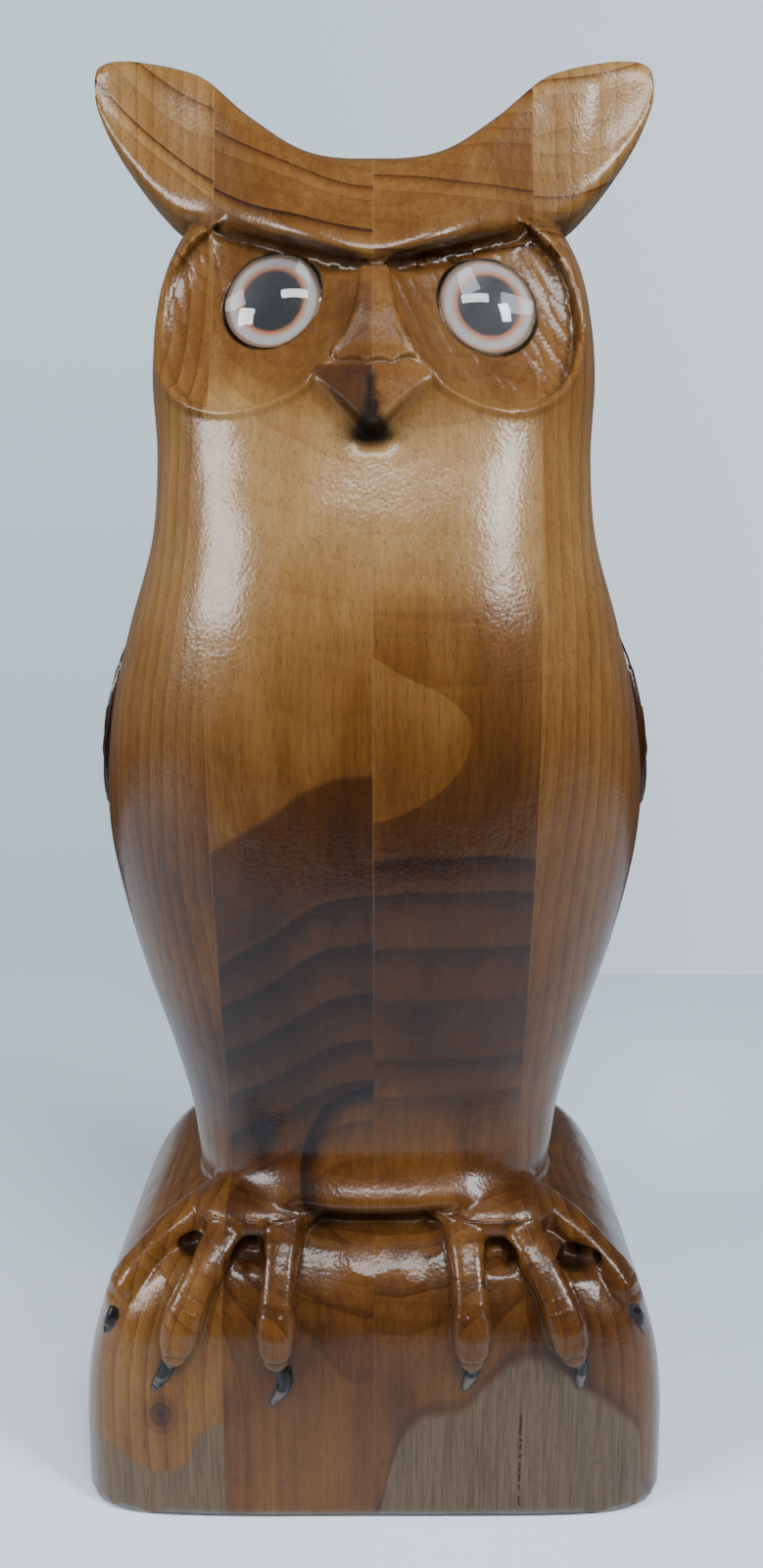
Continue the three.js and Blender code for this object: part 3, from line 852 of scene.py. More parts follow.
@dataclass(frozen=True)
class CarvedForm:
    """The whole carving as one field, negative inside the wood."""

    trunk: Trunk = field(default_factory=Trunk)
    crown: Crown = field(default_factory=Crown)
    mound: Mound = field(default_factory=Mound)
    face: Face = field(default_factory=Face)
    feet: Feet = field(default_factory=lambda: Feet(Mound()))
    work: ToolWork = field(default_factory=ToolWork)
    sides: tuple[FaceSide, ...] = (LEFT, RIGHT)

    def discs(self, points: Array, face: Array) -> Array:
        """Sinks the two facial discs into the head, with their lines and gouge marks."""
        plain = face.copy()
        for side in self.sides:
            disc = self.face.disc(points, side)
            own = own_frame(self.face.disc_frame(side), points)
            face = cut(face, disc, 0.8)
            face = face + self.work.rim(plain, disc)
            face = face + self.work.floor(plain, disc, own, side.sign + 5)
            if side is RIGHT:
                face = face + self.work.double_rim(plain, disc, own, side)
        return face + self.work.bridge(points)

    def panels(self, points: Array, body: Array, plain: Array, turn: Array) -> Array:
        """Raises the wings and the tail on the back."""
        z = points[:, 2]
        joined = body.copy()
        for panel, low, high, feathers in ((WING, 115.0, 325.0, 4), (TAIL, 75.0, 185.0, 5)):
            part = (points[:, 1] > -40.0) & (z > low) & (z < high)
            around = turn[part]
            if panel is TAIL:
                around = np.where(points[part][:, 0] < 0.0, 360.0 - around, around)
            raised = panel.distance(plain[part], around, z[part], self.work, feathers)
            joined[part] = melt(joined[part], raised, 1.5)
        return joined

    def __call__(self, points: Array) -> Array:
        """Reads the field at each point."""
        z = points[:, 2]
        body, turn = self.trunk.distance(points)
        plain = body.copy()
        body = body + self.work.lip(points)
        facial = (z > 335.0) & (points[:, 1] < 5.0)
        near = points[facial]
        body[facial] = self.discs(near, body[facial])
        low = z < 130.0
        mound = self.mound.distance(points[low]) + self.work.mound(points[low])
        body[low] = melt(body[low], mound, 2.5)
        high = z > 385.0
        crown = self.crown.distance(points[high])
        under = smooth_step(-points[high][:, 1], 6.0, 20.0)
        body[high] = melt(body[high] + self.work.brow(points[high], crown), crown, 1.8 - 0.4 * under)
        body = self.panels(points, body, plain, turn)
        body[facial] = melt(body[facial], self.face.beak(near), 4.6)
        body[facial] = body[facial] + self.work.beak(near)
        body = self.feet.distance(points, body)
        for side in self.sides:
            body[facial] = cut(body[facial], self.face.socket(near, side), 0.4)
        return body + self.work.hand_wander(points)

    def stain_and_shade(self, points: Array) -> Array:
        """How dark the stain and the painted shade are at each point, with painted shade in the shadowed gap
        round each eye.
        """
        shown = np.maximum(self.work.soot_and_shade(points), 0.94 * self.feet.shade(points))
        for side in self.sides:
            own = own_frame(self.face.eye_frame(side), points)
            away = np.hypot(own[:, 0], own[:, 1]) - self.face.socket_radius
            inside = (1.0 - smooth_step(away, 0.1, 0.9)) * (np.abs(own[:, 2]) < 12.0)
            shown = np.maximum(shown, 0.85 * inside)
        return shown

    def feathered(self, points: Array) -> Array:
        """1 on the raised wings and tail."""
        proud = smooth_step(self.trunk.distance(points)[0], 0.8, 2.4)
        z = points[:, 2]
        return proud * smooth_step(points[:, 1], -30.0, -15.0) * smooth_step(z, 100.0, 112.0) * (z < 330.0)

    def hollow(self, points: Array, reach: float) -> Array:
        """How deep each point lies in a groove or corner, from 0 to 1; the material darkens these places as
        painted shade.
        """
        around = -6.0 * self(points)
        for axis in range(3):
            for way in (-reach, reach):
                moved = points.copy()
                moved[:, axis] += way
                around += self(moved)
        return smooth_step(-around / reach**2, 0.06, 0.55)


# Laying out materials


Triple = tuple[float, float, float]


def paint(code: str) -> tuple[float, float, float, float]:
    """Turns a colour written as six hexadecimal digits into the shader's linear values."""
    parts = [int(code[i : i + 2], 16) / 255.0 for i in (0, 2, 4)]
    linear = [c / 12.92 if c <= 0.04045 else ((c + 0.055) / 1.055) ** 2.4 for c in parts]
    return (*linear, 1.0)


class Wire:
    """A value that changes over the surface, with plain sums on it."""

    def __init__(self, bench: "Bench", socket: bpy.types.NodeSocket) -> None:
        """Keeps the bench that made it and the socket that gives it."""
        self.bench = bench
        self.socket = socket

    def __add__(self, other: "Wire | float") -> "Wire":
        """Adds."""
        return self.bench.sum("ADD", self, other)

    __radd__ = __add__

    def __mul__(self, other: "Wire | float") -> "Wire":
        """Multiplies."""
        return self.bench.sum("MULTIPLY", self, other)

    __rmul__ = __mul__

    def __sub__(self, other: "Wire | float") -> "Wire":
        """Takes away."""
        return self.bench.sum("SUBTRACT", self, other)

    def __rsub__(self, other: "Wire | float") -> "Wire":
        """Takes away from a number."""
        return self.bench.sum("SUBTRACT", other, self)

    def __truediv__(self, other: "Wire | float") -> "Wire":
        """Divides."""
        return self.bench.sum("DIVIDE", self, other)


Given = Wire | float | tuple


class Bench:
    """Lays out and joins the nodes of one material or node group."""

    def __init__(self, tree: bpy.types.NodeTree) -> None:
        """Keeps the tree."""
        self.tree = tree

    def node(self, kind: str, **settings: object) -> bpy.types.Node:
        """A new node with its settings."""
        made = self.tree.nodes.new(f"ShaderNode{kind}")
        for name, value in settings.items():
            setattr(made, name, value)
        return made

    def feed(self, socket: bpy.types.NodeSocket, value: Given) -> None:
        """Joins a wire to a socket, or sets the socket to a number or colour."""
        if isinstance(value, Wire):
            self.tree.links.new(value.socket, socket)
        else:
            socket.default_value = value

    def sum(self, operation: str, *values: Given) -> Wire:
        """One step of arithmetic."""
        made = self.node("Math", operation=operation)
        for socket, value in zip(made.inputs, values):
            self.feed(socket, value)
        return Wire(self, made.outputs[0])

    def band(self, value: Wire, low: Given, high: Given) -> Wire:
        """Rises smoothly from 0 at low to 1 at high."""
        made = self.node("MapRange", interpolation_type="SMOOTHSTEP")
        for name, given in (("Value", value), ("From Min", low), ("From Max", high)):
            self.feed(made.inputs[name], given)
        return Wire(self, made.outputs[0])

    def bell(self, value: Wire, width: float) -> Wire:
        """1 where the value is zero, fading over the width on each side."""
        part = value / width
        return self.sum("EXPONENT", part * part * -1.0)

    def line(self, value: Wire, stations: Rows) -> Wire:
        """A curve through stations of (value, result), held at its ends."""
        at = [station[0] for station in stations]
        to = [station[1] for station in stations]
        low, high = min(to), max(to)
        spread = high - low
        made = self.node("FloatCurve")
        curve = made.mapping.curves[0]
        for i, (a, b) in enumerate(stations):
            place = ((a - at[0]) / (at[-1] - at[0]), (b - low) / spread)
            if i < 2:
                curve.points[i].location = place
            else:
                curve.points.new(*place)
        made.mapping.update()
        share = self.sum("MULTIPLY_ADD", value, 1.0 / (at[-1] - at[0]), -at[0] / (at[-1] - at[0]))
        share.socket.node.use_clamp = True
        self.feed(made.inputs["Value"], share)
        return self.sum("MULTIPLY_ADD", Wire(self, made.outputs[0]), spread, low)

    def mapped(
        self, place: Wire, scale: Triple, shift: Triple = (0, 0, 0), turn: Triple = (0, 0, 0)
    ) -> Wire:
        """Moves, turns and scales the place that a pattern reads."""
        made = self.node("Mapping")
        for name, given in (("Vector", place), ("Location", shift), ("Rotation", turn), ("Scale", scale)):
            self.feed(made.inputs[name], given)
        return Wire(self, made.outputs[0])

    def noise(self, place: Wire, detail: float = 2.0, rough: float = 0.5) -> Wire:
        """Cloudy noise about zero, with cells about one unit wide."""
        made = self.node("TexNoise")
        for name, given in (("Vector", place), ("Scale", 1.0), ("Detail", detail), ("Roughness", rough)):
            self.feed(made.inputs[name], given)
        return Wire(self, made.outputs[0]) - 0.5

    def mix(self, share: Given, one: Given, two: Given, blend: str = "MIX") -> Wire:
        """Goes from one colour to another."""
        made = self.node("Mix", data_type="RGBA", blend_type=blend)
        for socket, given in zip((made.inputs[0], made.inputs[6], made.inputs[7]), (share, one, two)):
            self.feed(socket, given)
        return Wire(self, made.outputs[2])

    def ramp(self, value: Wire, stops: Sequence[tuple[float, str]]) -> Wire:
        """Reads a colour off a row of stops of (value, colour)."""
        made = self.node("ValToRGB")
        row = made.color_ramp.elements
        for i, (at, code) in enumerate(stops):
            stop = row[i] if i < 2 else row.new(at)
            stop.position = at
            stop.color = paint(code)
        self.feed(made.inputs[0], value)
        return Wire(self, made.outputs[0])

    def axes(self, place: Wire) -> tuple[Wire, Wire, Wire]:
        """The three parts of a place."""
        made = self.node("SeparateXYZ")
        self.feed(made.inputs[0], place)
        return tuple(Wire(self, socket) for socket in made.outputs)

    def place(self) -> Wire:
        """Where the surface is, in millimetres of the object."""
        return self.mapped(Wire(self, self.node("TexCoord").outputs["Object"]), (1.0 / MM,) * 3)

    def mark(self, name: str) -> Wire:
        """A value written on the mesh's points."""
        return Wire(self, self.node("Attribute", attribute_name=name).outputs["Fac"])

    def bump(self, height: Wire, depth: float, strength: float = 1.0, below: Wire | None = None) -> Wire:
        """Leans the surface by a height, whose unit stands for the depth in metres."""
        made = self.node("Bump")
        self.feed(made.inputs["Strength"], strength)
        self.feed(made.inputs["Distance"], depth)
        self.feed(made.inputs["Height"], height)
        if below is not None:
            self.feed(made.inputs["Normal"], below)
        return Wire(self, made.outputs[0])


def new_material(name: str) -> tuple[bpy.types.Material, Bench, bpy.types.Node]:
    """A material, its bench and its shader."""
    material = bpy.data.materials.new(name)
    material.use_nodes = True
    return material, Bench(material.node_tree), material.node_tree.nodes["Principled BSDF"]


def handling_group() -> bpy.types.NodeTree:
    """The faint smears that wiping leaves on a polished surface, shared by wood and glass."""
    name = "handling"
    if name in bpy.data.node_groups:
        return bpy.data.node_groups[name]
    tree = bpy.data.node_groups.new(name, "ShaderNodeTree")
    tree.interface.new_socket("Place", in_out="INPUT", socket_type="NodeSocketVector")
    tree.interface.new_socket("Smear", in_out="OUTPUT", socket_type="NodeSocketFloat")
    bench = Bench(tree)
    place = Wire(bench, tree.nodes.new("NodeGroupInput").outputs[0])
    wiped = bench.noise(bench.mapped(place, (0.03, 0.05, 0.02), turn=(0.3, 0.5, 0.2)), 4.0, 0.6)
    spots = bench.noise(bench.mapped(place, (0.35,) * 3), 2.0)
    smear = bench.band(wiped + spots * 0.25, -0.05, 0.3)
    bench.feed(tree.nodes.new("NodeGroupOutput").inputs[0], smear)
    return tree


def handled(bench: Bench, place: Wire) -> Wire:
    """Places the handling group on a bench."""
    made = bench.node("Group", node_tree=handling_group())
    bench.feed(made.inputs[0], place)
    return Wire(bench, made.outputs[0])


@dataclass(frozen=True)
class Board:
    """One of the four glued boards: its growth rings and how dark its heart is at each height.

    The pith is the middle of the tree's rings, across and behind, and leans over the upper part.
    The heart rows were set to match tones measured in the photograph at various heights.
    """

    pith: tuple[float, float]
    lean: float
    ring: float
    heart: tuple[tuple[float, float], ...]


class Blank(Enum):
    """The boards that the owl is glued up from, as seen from the front."""

    LEFT_INNER = Board(
        (0.0, 24.0),
        -0.16,
        4.3,
        (
            (0, 0.5), (30, 0.52), (60, 0.56), (72, 0.6), (85, 0.55), (97, 0.56), (112, 0.64), (122, 0.63),
            (136, 0.68), (150, 0.76), (182, 0.8), (213, 0.76), (240, 0.7), (252.6, 0.66), (254.6, 0.5),
            (283, 0.42), (305, 0.31), (337, 0.24), (352, 0.36), (372, 0.48), (402, 0.48), (432, 0.44),
            (468, 0.36),
        ),
    )
    RIGHT_INNER = Board(
        (7.0, 24.0),
        -0.16,
        4.6,
        (
            (0, 0.54), (60, 0.57), (75, 0.58), (97, 0.54), (112, 0.64), (122, 0.62), (150, 0.7), (165, 0.74),
            (185, 0.7), (215, 0.72), (226, 0.74), (228, 0.67), (250, 0.6), (283, 0.49), (298, 0.45),
            (300, 0.4), (337, 0.24), (352, 0.36), (372, 0.47), (402, 0.47), (432, 0.45), (468, 0.32),
        ),
    )
    LEFT_OUTER = Board(
        (-210.0, 20.0),
        -0.1,
        5.2,
        (
            (0, 0.46), (40, 0.44), (80, 0.48), (97, 0.54), (114, 0.56), (148, 0.66), (180, 0.56),
            (205, 0.62), (227, 0.58), (247, 0.5), (275, 0.43), (332, 0.34), (372, 0.45), (402, 0.42),
            (445, 0.34), (468, 0.32),
        ),
    )
    RIGHT_OUTER = Board(
        (200.0, -10.0),
        0.12,
        5.6,
        (
            (0, 0.54), (60, 0.6), (97, 0.6), (114, 0.56), (174, 0.56), (246, 0.48), (290, 0.42), (333, 0.34),
            (372, 0.43), (402, 0.42), (445, 0.28), (468, 0.25),
        ),
    )


@dataclass(frozen=True)
class WalnutFinish:
    """Glossy lacquer over walnut: four boards whose rings, heart and sapwood run through the form.

    Edges are rows of a height for each place across, or the other way round, in millimetres. Each
    row of bands counts the dark bands passed by each height, from the one on top downward.
    """

    seam: float = 49.0
    lean_from: float = 215.0
    tones: tuple[tuple[float, str], ...] = (
        (0.0, "9c8058"),
        (0.2, "85663f"),
        (0.36, "6d4c25"),
        (0.5, "573512"),
        (0.64, "3c2009"),
        (0.8, "241005"),
        (1.0, "0c0503"),
    )
    sapwood: tuple[str, str] = ("30271e", "544838")
    belly_fall: Rows = ((-50, 26), (-30, 13), (-20, 6), (-10, 1.5), (0, 0), (30, 0), (50, 2))
    fall_share: Rows = ((100, 1.15), (150, 1.1), (256, 1.0), (300, 0.1), (335, -0.5), (400, -0.5))
    lens_edge: Rows = ((238, 0), (244, 14.7), (255, 26), (264.5, 28.5), (272, 24), (281, 8), (286, 0))
    sweep: Rows = ((-90, 60), (-68, 37), (-49, 21), (-25, 7), (0, 0), (49, 1), (90, 14))
    left_sap: Rows = (
        (-99, 27), (-84.5, 25), (-78.4, 20.5), (-70.6, 18.3), (-61.4, 22), (-58.8, 30.5), (-55, 35),
        (-49, 37),
    )
    right_sap: Rows = (
        (0, 0), (2, 3), (5, 17.5), (15.2, 38), (30, 42.3), (36.5, 51.2), (50.4, 59.7), (66.4, 49.7),
        (80.3, 39.4), (87.5, 29), (91, 5), (99, 2),
    )
    ring_strength: Rows = (
        (0, 0.05), (60, 0.06), (76, 0.1), (98, 0.1), (112, 0.03), (236, 0.03), (300, 0.025),
        (345, 0.04), (400, 0.03), (468, 0.02),
    )
    outer_ring_strength: float = 0.1
    left_bands: Rows = (
        (100, 7), (118, 6), (132, 5), (148, 4), (163.3, 3), (181, 2), (199, 1), (215, 0), (233, -1),
    )
    right_bands: Rows = (
        (100, 6), (141, 5), (155, 4), (178, 3), (196, 2), (215, 1), (226, 0), (244, -1),
    )
    left_band_depth: Rows = (
        (112, 0.04), (134, 0.12), (160, 0.2), (200, 0.22), (214, 0.2), (218, 0),
    )
    right_band_depth: Rows = (
        (112, 0.02), (140, 0.1), (155, 0.12), (170, 0.07), (196, 0.14), (225, 0.16), (229, 0),
    )
    streak_share: Rows = (
        (0, 0), (66, 0), (78, 0.3), (98, 0.3), (112, 0), (345, 0), (392, 0.15), (412, 0.9), (468, 1),
    )
    streak_height: float = 6.4
    oval_middle: tuple[float, float] = (4.0, 114.0)
    oval_half: tuple[float, float] = (28.0, 33.0)
    patch_middle: tuple[float, float] = (-38.0, 124.0)
    knot_shifts: Rows = ((-0.4, -283.6, 2.6), (69.4, -31.9, 4.4))
    feather_dark: float = 0.34
    crack_across: float = 47.7
    glue_half: float = 0.2
    pore_colour: str = "1c0e07"
    fleck_colour: str = "2e180b"
    glue_colour: str = "7c6040"
    crack_colour: str = "1a0f0a"
    # Painted shade in grooves and corners.
    groove_shade_colour: str = "190b05"
    # Colour of the stain, and of the painted shade under the beak, in the slot, under the brow, in the
    # arches and round the eyes.
    stain_and_shade_colour: str = "070403"
    # The claws' dark paint, and the pale grey of a painted highlight on their tips.
    claw_colour_and_highlight: tuple[str, str] = ("110d0c", "4d4845")
    roughness: float = 0.36
    specular: float = 0.1
    coat_weight: float = 0.74
    coat_roughness: float = 0.19
    coat_ior: float = 1.33
    ripple_depth: float = 0.00022
    grain_depth: float = 0.00008

    def pick(self, bench: Bench, right: Wire, outer: Wire, values: list[Given]) -> Wire:
        """Chooses among the values of the four boards."""
        left_in, right_in, left_out, right_out = values
        inner = bench.sum("MULTIPLY_ADD", right, right_in - left_in, left_in)
        side = bench.sum("MULTIPLY_ADD", right, right_out - left_out, left_out)
        return inner + outer * (side - inner)

    def figure(self, bench: Bench, place: Wire) -> tuple[Wire, Wire]:
        """The wood's darkness, from pale sapwood at 0 to black heart at 1, and the grey sapwood's share."""
        x, y, z = bench.axes(place)
        boards = [board.value for board in Blank]
        right = bench.sum("GREATER_THAN", x, 0.0)
        outer = bench.sum("GREATER_THAN", bench.sum("ABSOLUTE", x), self.seam)
        slow = bench.noise(bench.mapped(place, (0.02, 0.02, 0.008), shift=(3.1, 0, 0)), 1.0)
        broad = bench.noise(bench.mapped(place, (0.04, 0.04, 0.018), shift=(0, 7.7, 0)), 1.0)
        fine = bench.noise(bench.mapped(place, (0.16, 0.16, 0.06)), 2.0)

        lean = self.pick(bench, right, outer, [b.lean for b in boards])
        across = x - self.pick(bench, right, outer, [b.pith[0] for b in boards]) + slow * 9.0
        over = bench.sum("MAXIMUM", z - self.lean_from, 0.0)
        behind = y - self.pick(bench, right, outer, [b.pith[1] for b in boards]) - over * lean
        radius = bench.sum("SQRT", across * across + behind * behind)
        age = (radius + broad * 3.0 + fine * 0.3) / self.pick(bench, right, outer, [b.ring for b in boards])
        part = bench.sum("FRACT", age)
        year = bench.node("TexWhiteNoise", noise_dimensions="1D")
        bench.feed(year.inputs["W"], bench.sum("FLOOR", age))
        strength = Wire(bench, year.outputs["Value"]) * 0.8 + 0.4
        late = bench.sum("POWER", part, 1.8) - 0.36
        edge = bench.bell(part - 0.96, 0.06)

        fall = bench.line(x, self.belly_fall) * (1.0 - outer)
        fall = fall * bench.line(z, self.fall_share)
        level = z + fall + broad * 3.6 + fine * 0.6
        hearts = [bench.line(level, b.heart) for b in boards]
        heart = self.pick(bench, right, outer, hearts)
        lens = bench.band(bench.line(z, self.lens_edge) + broad * 3.0 - x, -0.5, 0.7)
        lens = lens * right * (1.0 - outer) * bench.band(bench.sum("ABSOLUTE", z - 262.0), 24.5, 23.0)
        heart = heart + lens * -0.1 + self.bands(bench, level, right) * (1.0 - outer)

        strong = bench.line(z, self.ring_strength)
        strong = strong + outer * (self.outer_ring_strength - strong)
        fibre = bench.noise(bench.mapped(place, (0.7, 0.7, 0.018)), 3.0, 0.55)
        cloud = bench.noise(bench.mapped(place, (0.09, 0.09, 0.012)), 2.0)
        tone = heart + late * strength * strong + edge * strength * strong * 0.3
        tone = tone + fibre * 0.16 + cloud * 0.2 + broad * 0.08 + self.streaks(bench, place, right, outer)
        tone = tone + self.glow(bench, x, z, outer)

        left_sap = bench.band(bench.line(x, self.left_sap) - z + broad * 4.0, -1.2, 1.2)
        left_sap = left_sap * bench.sum("LESS_THAN", x, -self.seam)
        right_sap = bench.band(bench.line(x, self.right_sap) - z + broad * 4.0, -2.4, 2.4) * right
        sap = left_sap + right_sap
        rim = bench.bell(bench.line(x, self.right_sap) - z + broad * 4.0 + 2.4, 2.6) * right
        return tone + rim * 0.08, sap

    def bands(self, bench: Bench, level: Wire, right: Wire) -> Wire:
        """The dark bands across the belly, each sharp above and fading downward."""
        left_count = bench.line(level, self.left_bands)
        right_count = bench.line(level, self.right_bands)
        count = left_count + right * (right_count - left_count)
        part = bench.sum("FRACT", count)
        fade = bench.sum("POWER", 1.0 - part, 2.2) - 0.3
        soften = bench.band(part, 0.93, 1.0) * 0.6
        left_depth = bench.line(level, self.left_band_depth)
        right_depth = bench.line(level, self.right_band_depth)
        return (fade + soften) * (left_depth + right * (right_depth - left_depth))

    def streaks(self, bench: Bench, place: Wire, right: Wire, outer: Wire) -> Wire:
        """Long dark wavy streaks across the forehead, the ears and the top of the mound."""
        x, y, z = bench.axes(place)
        level = z - bench.line(x, self.sweep)
        spot = bench.node("CombineXYZ")
        on_board = x * 0.012 + right * 3.0 + outer * 7.0
        for socket, value in zip(spot.inputs, (on_board, y * 0.008, level * 0.035)):
            bench.feed(socket, value)
        wave = bench.noise(Wire(bench, spot.outputs[0]), 1.5, 0.4)
        layer = level / self.streak_height + wave * 3.8
        part = bench.sum("FRACT", layer)
        own = bench.node("TexWhiteNoise", noise_dimensions="1D")
        bench.feed(own.inputs["W"], bench.sum("FLOOR", layer))
        strength = bench.sum("POWER", Wire(bench, own.outputs["Value"]), 2.4) * 0.44 + 0.03
        dark = bench.sum("POWER", part, 3.0) - 0.2 + bench.bell(part - 0.95, 0.07) * 0.2
        return dark * strength * bench.line(z, self.streak_share)

    def glow(self, bench: Bench, x: Wire, z: Wire, outer: Wire) -> Wire:
        """The red-brown oval low on the belly, with its dark border and the black patch beside it."""
        wide = (x - self.oval_middle[0]) / self.oval_half[0]
        tall = (z - self.oval_middle[1]) / self.oval_half[1]
        away = bench.sum("SQRT", wide * wide + tall * tall) + self.wobble(bench, x, z)
        left = bench.sum("LESS_THAN", x, 0.0)
        border = bench.band(away, 0.7, 1.0) * bench.band(away, 1.03, 0.99) * 0.26 * left
        inside = bench.band(away, 1.0, 0.75) * -0.06
        patch = bench.bell(x - self.patch_middle[0], 5.0) * bench.bell(z - self.patch_middle[1], 11.0) * 0.26
        return (border + inside + patch) * bench.band(z, 97.0, 106.0) * (1.0 - outer)

    def wobble(self, bench: Bench, x: Wire, z: Wire) -> Wire:
        """A slight unevenness for shapes drawn over the front."""
        spot = bench.node("CombineXYZ")
        bench.feed(spot.inputs[0], x * 0.07)
        bench.feed(spot.inputs[2], z * 0.05)
        return bench.noise(Wire(bench, spot.outputs[0]), 2.0) * 0.16

    def knots(self, bench: Bench, place: Wire) -> Wire:
        """How dark the two small knots make the wood."""
        dark = None
        for aside, below, size in self.knot_shifts:
            near = bench.mapped(place, (1.0, 0.0, 0.8), shift=(aside, 0.0, below))
            made = bench.node("VectorMath", operation="LENGTH")
            bench.feed(made.inputs[0], near)
            away = Wire(bench, made.outputs["Value"])
            swirl = bench.sum("SINE", away * 2.6) * 0.05 * bench.bell(away, size * 1.4)
            spot = bench.bell(away, size) * 0.26 + swirl
            dark = spot if dark is None else dark + spot
        return dark * bench.band(bench.axes(place)[1], 0.0, -20.0)

    def wood(self, bench: Bench, place: Wire, bare: Wire) -> Wire:
        """The colour of the clean wood: heart and sapwood, without pores or marks."""
        x, _, z = bench.axes(place)
        tone, sap = self.figure(bench, place)
        tone = tone + self.knots(bench, place) + bench.mark("feather") * self.feather_dark
        below = bench.band(z, 368.0, 366.0)
        tone = tone + bare * (bench.band(x, 2.0, -2.0) * (below * 0.08 + 0.14) + below * 0.06 - 0.04)
        streak = bench.noise(bench.mapped(place, (1.3, 1.3, 0.035), shift=(5, 5, 0)), 4.0, 0.65)
        dull, pale = (paint(code) for code in self.sapwood)
        grey = bench.mix(bench.band(streak, -0.3, 0.2), dull, pale)
        return bench.mix(sap * 0.76, bench.ramp(tone, self.tones), grey)

    def crack(self, bench: Bench, place: Wire) -> Wire:
        """1 along the drying crack in the front of the mound."""
        x, y, z = bench.axes(place)
        side = bench.noise(bench.mapped(place, (0.0, 0.0, 0.25)), 1.0) * 1.2
        open_at = bench.band(z, 3.0, 6.0) * bench.band(z, 42.0, 39.0)
        crack = bench.bell(x - self.crack_across + side, 0.42) * open_at
        broken = bench.band(bench.noise(bench.mapped(place, (0.5, 0.0, 0.55)), 2.0), -0.12, 0.02)
        return crack * broken * bench.band(y, -60.0, -70.0)

    def worn(self, bench: Bench, place: Wire, wood: Wire, pores: Wire, crack: Wire) -> Wire:
        """The colour with pores, flecks, glue lines and the crack."""
        x, _, z = bench.axes(place)
        colour = bench.mix(pores * 0.4, wood, paint(self.pore_colour))
        fleck = bench.noise(bench.mapped(place, (1.1, 1.1, 0.3)), 2.0)
        colour = bench.mix(bench.band(fleck, 0.05, 0.35) * 0.25, colour, paint(self.fleck_colour))
        seams = bench.sum("ABSOLUTE", x) - self.seam
        glue = bench.bell(x, self.glue_half) + bench.bell(seams, self.glue_half)
        shown = glue * (bench.band(z, 140.0, 240.0) * 0.22 + 0.06)
        colour = bench.mix(shown, colour, paint(self.glue_colour))
        return bench.mix(crack * 0.9, colour, paint(self.crack_colour))

    def stained_and_shaded(self, bench: Bench, colour: Wire, stain_and_shade: Wire) -> Wire:
        """The colour darkened with painted shade in grooves, with stain and painted shade where the stain
        mark lies, and the claws painted with a painted highlight on their tips.
        """
        # Painted shade in grooves and corners.
        colour = bench.mix(bench.mark("hollow") * 0.4, colour, paint(self.groove_shade_colour))
        # Stain, and painted shade under the beak, in the slot, under the brow, in the arches under the webs
        # and round the eyes.
        colour = bench.mix(stain_and_shade * 0.93, colour, paint(self.stain_and_shade_colour))
        horn = bench.mark("horn")
        dark, pale = (paint(code) for code in self.claw_colour_and_highlight)
        # The claws' pale tips are a painted highlight.
        claw = bench.mix(bench.band(horn, 1.5, 1.95), dark, pale)
        return bench.mix(bench.band(horn, 0.2, 0.7), colour, claw)

    def relief(self, bench: Bench, place: Wire, pores: Wire, crack: Wire) -> tuple[Wire, Wire]:
        """The lean of the wood's own surface, and that of the lacquer over it."""
        peel = bench.noise(bench.mapped(place, (0.8,) * 3, shift=(9, 0, 0)), 2.0, 0.4)
        sag = bench.noise(bench.mapped(place, (0.11,) * 3), 1.0)
        ripple = bench.bump(peel * 0.45 + sag * 0.9 - crack * 1.5, self.ripple_depth)
        fibres = bench.noise(bench.mapped(place, (1.6, 1.6, 0.05), shift=(4, 0, 0)), 2.0)
        return bench.bump(fibres - pores * 0.6, self.grain_depth, below=ripple), ripple

    def build(self) -> bpy.types.Material:
        """Makes the material."""
        material, bench, shader = new_material("lacquered_walnut")
        place = bench.place()
        bare = bench.mark("bare")
        stain_and_shade = bench.mark("stain_and_shade")
        pore = bench.noise(bench.mapped(place, (2.6, 2.6, 0.16), shift=(1, 2, 3)), 1.0)
        pores = bench.band(pore, 0.1, 0.2)
        crack = self.crack(bench, place)
        colour = self.worn(bench, place, self.wood(bench, place, bare), pores, crack)
        smear = handled(bench, place)
        grain, ripple = self.relief(bench, place, pores, crack)
        glossy = (self.coat_weight - smear * 0.18 - crack) * (1.0 - bare * 0.9) * (1.0 - stain_and_shade * 0.85)
        for name, value in (
            ("Base Color", self.stained_and_shaded(bench, colour, stain_and_shade)),
            ("Roughness", smear * 0.1 + pores * 0.12 + bare * 0.3 + self.roughness),
            ("Specular IOR Level", self.specular),
            ("Coat Weight", glossy),
            ("Coat Roughness", self.coat_roughness),
            ("Coat IOR", self.coat_ior),
            ("Normal", grain),
            ("Coat Normal", ripple),
        ):
            bench.feed(shader.inputs[name], value)
        return material


@dataclass(frozen=True)
class GlassFinish:
    """Clear glass of the eyes."""

    def build(self) -> bpy.types.Material:
        """Makes the material."""
        material, bench, shader = new_material("eye_glass")
        smear = handled(bench, bench.place())
        shader.inputs["Base Color"].default_value = (0.97, 0.98, 1.0, 1.0)
        bench.feed(shader.inputs["Roughness"], smear * 0.012)
        shader.inputs["IOR"].default_value = 1.45
        shader.inputs["Transmission Weight"].default_value = 1.0
        return material


